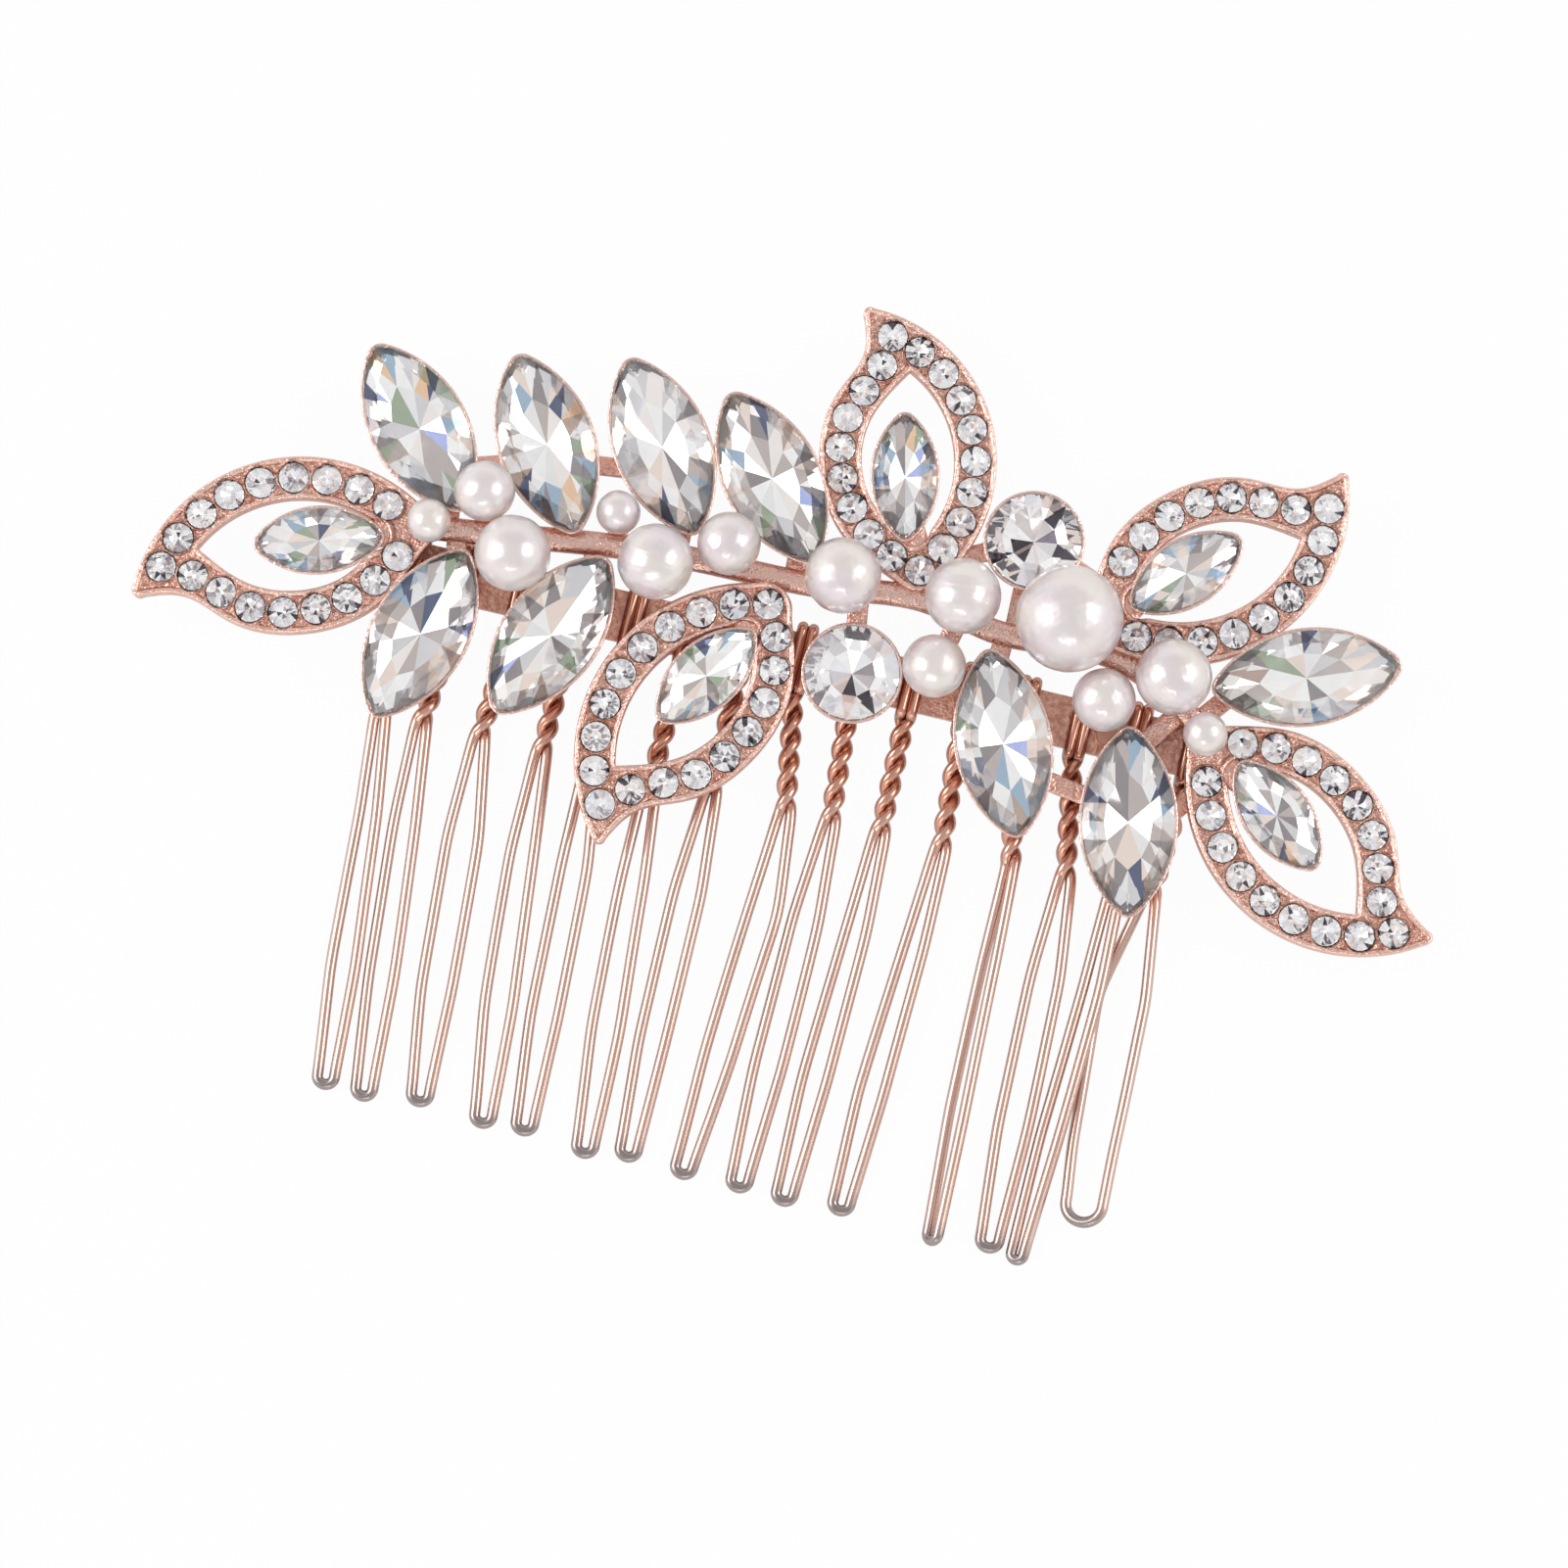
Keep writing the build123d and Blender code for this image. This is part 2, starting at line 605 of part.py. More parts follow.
def inner_end(name):
    """A place under a pointed stone, near the end that meets the stem."""
    x, y, direction = MARQUISE_STONES[name]
    reach = STONE_LENGTH * ARM_ROOT_SHARE
    run = (reach * cos(radians(direction)), reach * sin(radians(direction)))
    ends = [(x + run[0], y + run[1]), (x - run[0], y - run[1])]
    return min(ends, key=lambda end: dist(end, nearest_on_stem(*end)))


def branch_casting():
    """Stem, arms, cups, dishes and webs, cast in one piece."""
    pieces = [stem()]
    for name in MARQUISE_STONES:
        pieces.append(marquise_place(name) * cup(large_outline, CASTING_BACK, GIRDLE))
        pieces.append(arm(*inner_end(name)))
    for x, y in ROUND_STONES.values():
        pieces.append(Pos(x, y, 0) * cup(round_outline, CASTING_BACK, GIRDLE))
        pieces.append(arm(x, y))
    for x, y, *_ in LEAVES.values():
        pieces.append(bar_between((x, y), (x, y), LEAF_PAD, CASTING_BACK, ARM_FRONT))
        pieces.append(arm(x, y))
    for index, (x, y, _, _) in enumerate(PEARLS):
        if index not in LEAF_PEARLS:
            pieces.append(pearl_dish(index))
        pieces.append(arm(x, y))
    for start, end in WEBS:
        pieces.append(bar_between(start, end, WEB_WIDTH, CASTING_BACK, ARM_FRONT))
    body = fuse(pieces)
    for name in MARQUISE_STONES:
        body -= marquise_place(name) * room(large_outline, CASTING_BACK, GIRDLE)
    for x, y in ROUND_STONES.values():
        body -= Pos(x, y, 0) * room(round_outline, CASTING_BACK, GIRDLE)
    for name in LEAVES:
        footprint = leaf_outline(LEAVES[name][3], LEAF_BAND / 2 + LEAF_JOINT_GAP)
        body -= leaf_place(name) * Pos(0, 0, ARM_FRONT) * extrude(footprint, STEM_HEIGHT + GIRDLE_HEIGHT)
    return cut_pearl_sockets(body)


def solder_joints():
    """Round joints that hold the branch on the bar, between the wraps."""
    joint = extrude(Circle(SOLDER_RADIUS), CASTING_BACK - BAR_FRONT)
    return Compound([Pos(step * TOOTH_PITCH, y, BAR_FRONT) * joint for step, y in SOLDER_PLACES])


# ----------------------------------------------------------------- assembly
def comb():
    """Every piece by its name, placed from the middle of the bar."""
    pieces = {"comb_bar": comb_bar(), "branch_casting": branch_casting(), "solder_joints": solder_joints()}
    for index in range(len(TEETH)):
        pieces[f"comb_tooth_{index + 1:02d}"] = comb_tooth(index)
    for name in LEAVES:
        pieces[f"leaf_frame_{name}"] = leaf_frame(name)
        pieces[f"leaf_stone_{name}"] = leaf_stone(name)
        pieces[f"pave_stones_{name}"] = pave_stones(name)
    for name in MARQUISE_STONES:
        stone = marquise_stone(STONE_LENGTH, STONE_WIDTH, STONE_TIP)
        pieces[f"marquise_stone_{name}"] = marquise_place(name) * Pos(0, 0, GIRDLE) * stone
    for name, (x, y) in ROUND_STONES.items():
        pieces[f"round_stone_{name}"] = Pos(x, y, GIRDLE) * round_stone(ROUND_STONE)
    for index in range(len(PEARLS)):
        pieces[f"pearl_{index + 1:02d}"] = pearl(index)
    return pieces


def main():
    """Centre the comb on its footprint and write one file for each piece."""
    pieces = comb()
    whole = Compound(list(pieces.values())).bounding_box()
    centre = Pos(-whole.center().X, -whole.center().Y, -whole.min.Z)
    os.makedirs("parts", exist_ok=True)
    for name, piece in pieces.items():
        export_step(centre * piece, f"parts/{name}.step")


if __name__ == "__main__":
    main()
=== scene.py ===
"""Looks of a rose gold hair comb: wire teeth, leaves of small stones, pointed stones and pearls.

Sizes are in millimetres, measured from the middle of the bar, and become metres in the mesh.
X runs along the bar, Y away from the tips of the teeth and Z to the front of the comb.
"""

import json
import logging
import math
from dataclasses import dataclass
from enum import Enum

import bpy
import numpy as np
from mathutils import Matrix, Vector

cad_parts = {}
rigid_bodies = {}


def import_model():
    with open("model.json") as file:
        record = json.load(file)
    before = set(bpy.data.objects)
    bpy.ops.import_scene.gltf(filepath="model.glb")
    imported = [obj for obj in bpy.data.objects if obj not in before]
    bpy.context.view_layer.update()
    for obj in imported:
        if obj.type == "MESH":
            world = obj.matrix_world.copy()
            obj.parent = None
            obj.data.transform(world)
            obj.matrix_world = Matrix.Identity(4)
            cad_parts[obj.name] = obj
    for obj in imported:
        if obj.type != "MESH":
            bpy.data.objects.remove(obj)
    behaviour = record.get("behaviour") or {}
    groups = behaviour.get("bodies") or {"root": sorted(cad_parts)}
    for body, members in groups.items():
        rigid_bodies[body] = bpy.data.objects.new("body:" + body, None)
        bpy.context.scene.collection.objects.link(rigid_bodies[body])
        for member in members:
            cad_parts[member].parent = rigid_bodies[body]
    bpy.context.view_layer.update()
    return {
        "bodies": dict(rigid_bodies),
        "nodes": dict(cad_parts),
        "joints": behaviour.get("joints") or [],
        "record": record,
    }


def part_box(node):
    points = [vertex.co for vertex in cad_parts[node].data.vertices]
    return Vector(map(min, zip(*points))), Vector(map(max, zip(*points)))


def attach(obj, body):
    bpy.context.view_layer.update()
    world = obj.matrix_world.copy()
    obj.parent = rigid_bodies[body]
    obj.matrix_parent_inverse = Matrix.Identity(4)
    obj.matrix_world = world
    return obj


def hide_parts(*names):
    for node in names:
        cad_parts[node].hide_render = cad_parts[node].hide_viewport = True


Point = tuple[float, float]
Place = tuple[float, float, float]
Tint = tuple[float, float, float]
Span = tuple[float, ...]
Socket = bpy.types.NodeSocket
Number = Socket | float
Colour = Socket | Tint

LOG = logging.getLogger("hair_comb")
MM = 0.001
BODY = "root"
SEED = 71
FLUSH = 0.001  # heights that differ by less are the same
PHASE = 6.0  # radians by which a random wave starts late at most, a little under a full turn

# Length, width and tip radius of each kind of stone; a round one has its diameter twice and no tip.
LARGE_STONE: Place = (14.4, 7.2, 0.9)
LEAF_STONE: Place = (9.7, 4.9, 0.7)
ROUND_STONE: Place = (7.4, 7.4, 0.0)
PAVE_STONE: Place = (2.35, 2.35, 0.0)


class Slot(Enum):
    """The record's material slots."""

    CAST = "cast_metal"
    WIRE = "comb_metal"
    CRYSTAL = "crystal"
    PEARL = "pearl"


@dataclass(frozen=True)
class Levels:
    """Heights above the back of the wire comb, worked out from its wire, its bar and the casting's sizes."""

    wire: float = 0.9
    clearance: float = 0.02
    bar: float = 1.0
    arm: float = 0.8
    leaf: float = 1.6

    @property
    def bar_back(self) -> float:
        """Back of the bar."""
        return self.wire + self.clearance

    @property
    def bar_middle(self) -> float:
        """Middle of the bar."""
        return self.bar_back + self.bar / 2

    @property
    def casting(self) -> float:
        """Back of the cast branch."""
        return self.bar_back + self.bar + self.wire + 2 * self.clearance

    @property
    def arm_front(self) -> float:
        """Front of the flat arms, where the leaves begin."""
        return self.casting + self.arm

    @property
    def leaf_front(self) -> float:
        """Top of a leaf's rim, and the girdles of its pointed stone and of the large stones."""
        return self.arm_front + self.leaf


LEVELS = Levels()


# --------------------------------------------------------------------- meshes
@dataclass
class Surface:
    """A closed mesh as plain arrays.

    Attributes:
        points: corner places in millimetres, one row each.
        corners: the point of every face corner, face after face.
        sizes: how many corners each face has.
        slots: the material slot of each face.
        notes: named values for the material, one number or one vector for each point or face.
    """

    points: np.ndarray
    corners: np.ndarray
    sizes: np.ndarray
    slots: np.ndarray
    notes: dict[str, np.ndarray]

    @classmethod
    def plain(cls, points: np.ndarray, corners: np.ndarray, sizes: np.ndarray) -> "Surface":
        """A surface of one finish, with no notes."""
        return cls(points, corners, sizes, np.zeros(len(sizes), int), {})

    def volume(self) -> float:
        """Works out the signed volume.

        Returns:
            The sum of corner-fan tetrahedra over all faces, in cubic millimetres.
        """
        starts = np.concatenate(([0], np.cumsum(self.sizes)[:-1]))
        total = 0.0
        for step in range(1, int(self.sizes.max()) - 1):
            has = self.sizes > step + 1
            first = self.points[self.corners[starts[has]]]
            second = self.points[self.corners[starts[has] + step]]
            third = self.points[self.corners[starts[has] + step + 1]]
            total += float(np.einsum("ij,ij->i", first, np.cross(second, third)).sum()) / 6
        return total

    def outward(self) -> "Surface":
        """Turns all faces round if the volume is negative.

        Returns:
            The same surface, with its faces pointing outwards.
        """
        if self.volume() >= 0:
            return self
        ends = np.cumsum(self.sizes)
        starts = ends - self.sizes
        order = np.arange(len(self.corners))
        face = np.repeat(np.arange(len(self.sizes)), self.sizes)
        self.corners = self.corners[starts[face] + ends[face] - 1 - order]
        return self

    def moved(self, x: float, y: float, z: float, turn: float = 0.0) -> "Surface":
        """Carries the surface to another place.

        Args:
            x: how far it goes along X.
            y: how far it goes along Y.
            z: how far it goes along Z.
            turn: degrees about Z, by which it is turned before it moves.

        Returns:
            A copy in the new place.
        """
        c, s = math.cos(math.radians(turn)), math.sin(math.radians(turn))
        matrix = np.array(((c, s, 0.0), (-s, c, 0.0), (0.0, 0.0, 1.0)))
        return Surface(self.points @ matrix + (x, y, z), self.corners, self.sizes, self.slots, self.notes)


def join(surfaces: list[Surface]) -> Surface:
    """Makes one surface of several: their arrays end to end, with the corner numbers carried on.

    Args:
        surfaces: the surfaces, all with the same notes.

    Returns:
        The whole.
    """
    offsets = np.cumsum([0] + [len(s.points) for s in surfaces[:-1]])
    return Surface(
        np.concatenate([s.points for s in surfaces]),
        np.concatenate([s.corners + o for s, o in zip(surfaces, offsets)]),
        np.concatenate([s.sizes for s in surfaces]),
        np.concatenate([s.slots for s in surfaces]),
        {key: np.concatenate([s.notes[key] for s in surfaces]) for key in surfaces[0].notes},
    )


def grid(points: np.ndarray, close_rows: bool) -> Surface:
    """A mesh over a grid of points p(u, v), whose last column joins its first.

    Where rows stay open, their two ends are closed by one flat face each.

    Args:
        points: array of shape (rows, columns, 3).
        close_rows: whether the last row joins the first.

    Returns:
        The surface, with no notes.
    """
    rows, columns = points.shape[:2]
    index = np.arange(rows * columns).reshape(rows, columns)
    u = np.arange(rows if close_rows else rows - 1)
    uu, vv = np.meshgrid(u, np.arange(columns), indexing="ij")
    up, vp = (uu + 1) % rows, (vv + 1) % columns
    quads = np.stack([index[uu, vv], index[uu, vp], index[up, vp], index[up, vv]], axis=-1).reshape(-1, 4)
    corners, sizes = [quads.ravel()], [np.full(len(quads), 4)]
    if not close_rows:
        corners += [index[0][::-1], index[-1]]
        sizes.append(np.array([columns, columns]))
    return Surface.plain(points.reshape(-1, 3), np.concatenate(corners), np.concatenate(sizes))


def tube(path: np.ndarray, radius: float, side: np.ndarray, around: int, closed: bool) -> Surface:
    """A round rod: a circle carried along a path.

    p(u, v) = path(u) + radius (cos v n(u) + sin v t(u) x n(u)), where t is the path's run and n the part of
    the side direction that is square to it. The note "course" is the distance along the rod and the circle's
    cosine and sine, and "side" is 0 where the rod's skin lies level and 1 where it stands upright.

    Args:
        path: middle line, shape (n, 3).
        radius: the rod's radius.
        side: a direction never along the path, shape (3,) or (n, 3).
        around: how many sides the circle has.
        closed: whether the path closes on itself.

    Returns:
        The rod, with both notes.
    """
    if closed:
        run = np.roll(path, -1, axis=0) - np.roll(path, 1, axis=0)
    else:
        run = np.gradient(path, axis=0)
    run /= np.linalg.norm(run, axis=1, keepdims=True)
    side = np.broadcast_to(side, path.shape)
    normal = side - np.einsum("ij,ij->i", side, run)[:, None] * run
    normal /= np.linalg.norm(normal, axis=1, keepdims=True)
    across = np.cross(run, normal)
    angle = full_turn(around)
    cosine, sine = np.cos(angle), np.sin(angle)
    ring = cosine[None, :, None] * normal[:, None] + sine[None, :, None] * across[:, None]
    rod = grid(path[:, None] + radius * ring, closed)
    step = np.linalg.norm(np.diff(path, axis=0), axis=1)
    along = np.repeat(np.concatenate(([0], np.cumsum(step))), around)
    rod.notes["course"] = np.stack([along, np.tile(cosine, len(path)), np.tile(sine, len(path))], 1)
    rod.notes["side"] = np.hypot(ring[..., 0], ring[..., 1]).ravel()
    return rod.outward()


def facets(low: int, high: int, low_count: int, high_count: int) -> np.ndarray:
    """Triangles between two rings of points, one of which may be a tip or twice as dense as the other.

    Between rings of one count each step is two triangles. Between a dense and a sparse ring each sparse step
    is one triangle on the sparse edge and two on the dense edges. To a tip each step is one triangle.

    Args:
        low: number of the lower ring's first point.
        high: number of the upper ring's first point.
        low_count: how many points the lower ring has.
        high_count: how many the upper ring has.

    Returns:
        The point numbers, shape (n, 3).
    """
    tip = 1 in (low_count, high_count)
    count = max(low_count, high_count) if tip else min(low_count, high_count)
    i = np.arange(count)
    j = (i + 1) % count
    if low_count == high_count:
        halves = (low + i, low + j, high + i), (low + j, high + j, high + i)
        return np.concatenate([np.stack(half, 1) for half in halves])
    wide, narrow = (low, high) if low_count > high_count else (high, low)
    if tip:
        made = np.stack([wide + i, wide + j, np.full(count, narrow)], 1)
    else:
        left, middle, right = wide + 2 * i, wide + 2 * i + 1, wide + (2 * i + 2) % (2 * count)
        thirds = (left, middle, narrow + i), (middle, right, narrow + j), (middle, narrow + j, narrow + i)
        made = np.concatenate([np.stack(third, 1) for third in thirds])
    return made if low_count > high_count else made[:, ::-1]


def fan_rings(rings: list[np.ndarray]) -> Surface:
    """A closed faceted solid: facets between rings of points, its first and last ring closed flat.

    Args:
        rings: arrays of shape (n, 3), from the back of the stone to its front; one point is a tip.

    Returns:
        The surface with the note "row": which pair of rings a facet lies between.
    """
    starts = np.cumsum([0] + [len(ring) for ring in rings])
    made = [facets(*pair) for pair in zip(starts, starts[1:], map(len, rings), map(len, rings[1:]))]
    flat = np.concatenate(made)
    rows = [np.full(len(part), k) for k, part in enumerate(made)]
    corners, sizes = [flat.ravel()], [np.full(len(flat), 3)]
    for ring, start, turned in ((rings[0], starts[0], True), (rings[-1], starts[-2], False)):
        if len(ring) > 1:
            cap = start + np.arange(len(ring))
            corners.append(cap[::-1] if turned else cap)
            sizes.append(np.array([len(ring)]))
            rows.append(np.array([0 if turned else len(rings)]))
    surface = Surface.plain(np.concatenate(rings), np.concatenate(corners), np.concatenate(sizes))
    surface.notes["row"] = np.concatenate(rows).astype(float)
    return surface.outward()


def make_piece(
    name: str,
    surface: Surface,
    finishes: list[bpy.types.Material],
    nodes: list[str],
    smooth: bool,
) -> None:
    """Puts a surface into the scene as one piece that rides on the comb.

    Args:
        name: the piece's name.
        surface: its mesh, in millimetres from the middle of the bar.
        finishes: materials, in the order of the surface's slots.
        nodes: the CAD nodes that the piece stands for.
        smooth: whether its faces are shaded round.
    """
    mesh = bpy.data.meshes.new(name)
    places = ((surface.points + Bench.origin) * MM).astype(np.float32)
    mesh.vertices.add(len(places))
    mesh.vertices.foreach_set("co", places.ravel())
    mesh.loops.add(len(surface.corners))
    mesh.loops.foreach_set("vertex_index", surface.corners.astype(np.int32))
    mesh.polygons.add(len(surface.sizes))
    starts = (np.cumsum(surface.sizes) - surface.sizes).astype(np.int32)
    mesh.polygons.foreach_set("loop_start", starts)
    mesh.polygons.foreach_set("material_index", surface.slots.astype(np.int32))
    mesh.polygons.foreach_set("use_smooth", np.full(len(surface.sizes), smooth))
    for key, values in surface.notes.items():
        domain = "POINT" if len(values) == len(surface.points) else "FACE"
        kind, field = ("FLOAT_VECTOR", "vector") if values.ndim == 2 else ("FLOAT", "value")
        mesh.attributes.new(key, kind, domain).data.foreach_set(field, values.astype(np.float32).ravel())
    for finish in finishes:
        mesh.materials.append(finish)
    mesh.update(calc_edges=True)
    mesh.validate()
    piece = bpy.data.objects.new(name, mesh)
    bpy.context.scene.collection.objects.link(piece)
    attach(piece, BODY)
    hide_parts(*nodes)
    LOG.info("%s: %d faces", name, len(surface.sizes))


# --------------------------------------------------------------- node helpers
class Graph:
    """A node tree that is filled by short calls."""

    def __init__(self, tree: bpy.types.NodeTree) -> None:
        """Keeps the tree."""
        self.tree = tree

    def feed(self, node: bpy.types.Node, **inputs: Number | Span) -> None:
        """Sets or links the inputs of a node.

        Args:
            node: the node.
            **inputs: values or output sockets by input name, with _ for a blank; "i0" means input number 0.
        """
        for key, value in inputs.items():
            place = int(key[1:]) if key[0] == "i" and key[1:].isdigit() else key.replace("_", " ")
            if isinstance(value, Socket):
                self.tree.links.new(value, node.inputs[place])
            else:
                node.inputs[place].default_value = value

    def add(self, kind: str, settings: dict | None = None, **inputs: Number | Span) -> bpy.types.Node:
        """Adds a node.

        Args:
            kind: Blender's node type.
            settings: properties of the node.
            **inputs: its inputs, as feed takes them.

        Returns:
            The node.
        """
        node = self.tree.nodes.new(kind)
        for key, value in (settings or {}).items():
            setattr(node, key, value)
        self.feed(node, **inputs)
        return node

    def maths(self, operation: str, *values: Number) -> Socket:
        """A Math node's result."""
        inputs = {f"i{k}": value for k, value in enumerate(values)}
        return self.add("ShaderNodeMath", {"operation": operation}, **inputs).outputs[0]

    def mix(self, share: Number, first: Colour, second: Colour) -> Socket:
        """A colour between two colours."""
        ends = [end if isinstance(end, Socket) else (*end, 1) for end in (first, second)]
        return self.add("ShaderNodeMix", {"data_type": "RGBA"}, i0=share, i6=ends[0], i7=ends[1]).outputs[2]

    def steps(self, value: Number, stops: tuple[tuple[float, Tint], ...]) -> Socket:
        """Reads a colour from a row of even patches.

        Args:
            value: the place in the row, from 0 to 1.
            stops: where each patch starts, and its colour.

        Returns:
            The colour.
        """
        node = self.add("ShaderNodeValToRGB", i0=value)
        node.color_ramp.interpolation = "CONSTANT"
        while len(node.color_ramp.elements) < len(stops):
            node.color_ramp.elements.new(0.5)
        for element, (place, colour) in zip(node.color_ramp.elements, stops):
            element.position = place
            element.color = (*colour, 1)
        return node.outputs[0]

    def noise(self, place: Number, scale: float, detail: float, roughness: float = 0.5) -> Socket:
        """A noise value from 0 to 1 at a place."""
        inputs = {"Vector": place, "Scale": scale, "Detail": detail, "Roughness": roughness}
        return self.add("ShaderNodeTexNoise", **inputs).outputs[0]

    def span(self, value: Number, low: float, high: float, start: float = 0, end: float = 1) -> Socket:
        """A value mapped from one range to another, held at both ends."""
        return self.add("ShaderNodeMapRange", i0=value, i1=low, i2=high, i3=start, i4=end).outputs[0]

    def note(self, name: str, output: str = "Fac") -> Socket:
        """One of the piece's notes."""
        return self.add("ShaderNodeAttribute", {"attribute_name": name}).outputs[output]

    def place(self) -> Socket:
        """Object coordinates."""
        return self.add("ShaderNodeTexCoord").outputs["Object"]

    def bump(self, height: Number, strength: float, distance: float) -> Socket:
        """A normal bent by a height, with its distance in metres."""
        return self.add("ShaderNodeBump", Height=height, Strength=strength, Distance=distance).outputs[0]


def clear_graph(owner: bpy.types.Material | bpy.types.World) -> Graph:
    """Empties the node tree of a new material or world.

    Args:
        owner: the material or the world.

    Returns:
        Its graph.
    """
    owner.use_nodes = True
    owner.node_tree.nodes.clear()
    return Graph(owner.node_tree)


def mask_group(name: str, vector: str, masks: tuple[str, ...]) -> tuple[bpy.types.NodeTree, Graph, Socket]:
    """Starts a shader node group that reads one vector and puts out plain numbers.

    Args:
        name: the group's name.
        vector: name of its input.
        masks: names of its outputs.

    Returns:
        The group, its graph and the vector.
    """
    tree = bpy.data.node_groups.new(name, "ShaderNodeTree")
    tree.interface.new_socket(vector, in_out="INPUT", socket_type="NodeSocketVector")
    for mask in masks:
        tree.interface.new_socket(mask, in_out="OUTPUT", socket_type="NodeSocketFloat")
    g = Graph(tree)
    return tree, g, g.add("NodeGroupInput").outputs[0]


@dataclass(frozen=True)
class CastGrain:
    """The fine pitted skin of a plated casting, as a node group.

    "Height" is a weighed sum of two noises of the place, pits and grains, "Speckle" is the pits' noise drawn
    apart, and "Cloud" is the slow cloudiness of the plating.
    """

    pits: float = 2300.0
    grains: float = 6500.0
    clouds: float = 260.0
    pit_share: float = 0.7
    speckle: Span = (0.36, 0.66)

    def group(self) -> bpy.types.NodeTree:
        """Builds the group.

        Returns:
            The group.
        """
        tree, g, place = mask_group("cast_grain", "Place", ("Height", "Cloud", "Speckle"))
        pits = g.noise(place, self.pits, detail=2.0, roughness=0.6)
        grains = g.noise(place, self.grains, detail=1.0)
        parts = g.maths("MULTIPLY", pits, self.pit_share), g.maths("MULTIPLY", grains, 1 - self.pit_share)
        cloud = g.noise(place, self.clouds, detail=3.0, roughness=0.55)
        speckle = g.span(pits, *self.speckle)
        g.add("NodeGroupOutput", Height=g.maths("ADD", *parts), Cloud=cloud, Speckle=speckle)
        return tree


@dataclass(frozen=True)
class DrawnStreaks:
    """The fine lines that a drawing die leaves along a wire, as a node group.

    The place is (distance, cos, sin) on the wire; both noises are stretched 20 to 1 along the distance.
    """

    stretch: float = 0.05
    fineness: float = 3.2
    mottle: float = 1.3

    def group(self) -> bpy.types.NodeTree:
        """Builds the group.

        Returns:
            The group.
        """
        tree, g, course = mask_group("drawn_streaks", "Course", ("Streak", "Mottle"))
        pull = {"i0": course, "i1": (self.stretch, 1, 1)}
        pulled = g.add("ShaderNodeVectorMath", {"operation": "MULTIPLY"}, **pull).outputs[0]
        streak = g.noise(pulled, self.fineness, detail=4.0, roughness=0.65)
        mottle = g.noise(pulled, self.mottle, detail=3.0, roughness=0.6)
        g.add("NodeGroupOutput", Streak=streak, Mottle=mottle)
        return tree


# ------------------------------------------------------------------- finishes
# A span of two numbers is a range. A span of four says what its last two numbers give over the range of its
# first two. Heights of a bump are in metres.
@dataclass(frozen=True)
class Principled:
    """Even settings of a Principled shader, set on its own sockets; the scatter's scale is in metres."""

    roughness: float
    metallic: float = 0.0
    transmission: float = 0.0
    ior: float = 1.5
    coat: float = 0.0
    coat_roughness: float = 0.05
    coat_ior: float = 1.5
    scatter: float = 0.0
    scatter_tint: Tint = (1.0, 0.7, 0.6)
    scatter_scale: float = 0.0006

    def start(self, name: str) -> tuple[bpy.types.Material, Graph, bpy.types.Node]:
        """Makes a new material with this shader.

        Args:
            name: the material's name.

        Returns:
            The material, its graph and the shader node.
        """
        material = bpy.data.materials.new(name)
        g = clear_graph(material)
        shader = g.add(
            "ShaderNodeBsdfPrincipled",
            Roughness=self.roughness,
            Metallic=self.metallic,
            Transmission_Weight=self.transmission,
            IOR=self.ior,
            Coat_Weight=self.coat,
            Coat_Roughness=self.coat_roughness,
            Coat_IOR=self.coat_ior,
            Subsurface_Weight=self.scatter,
            Subsurface_Radius=self.scatter_tint,
            Subsurface_Scale=self.scatter_scale,
        )
        g.add("ShaderNodeOutputMaterial", Surface=shader.outputs[0])
        return material, g, shader


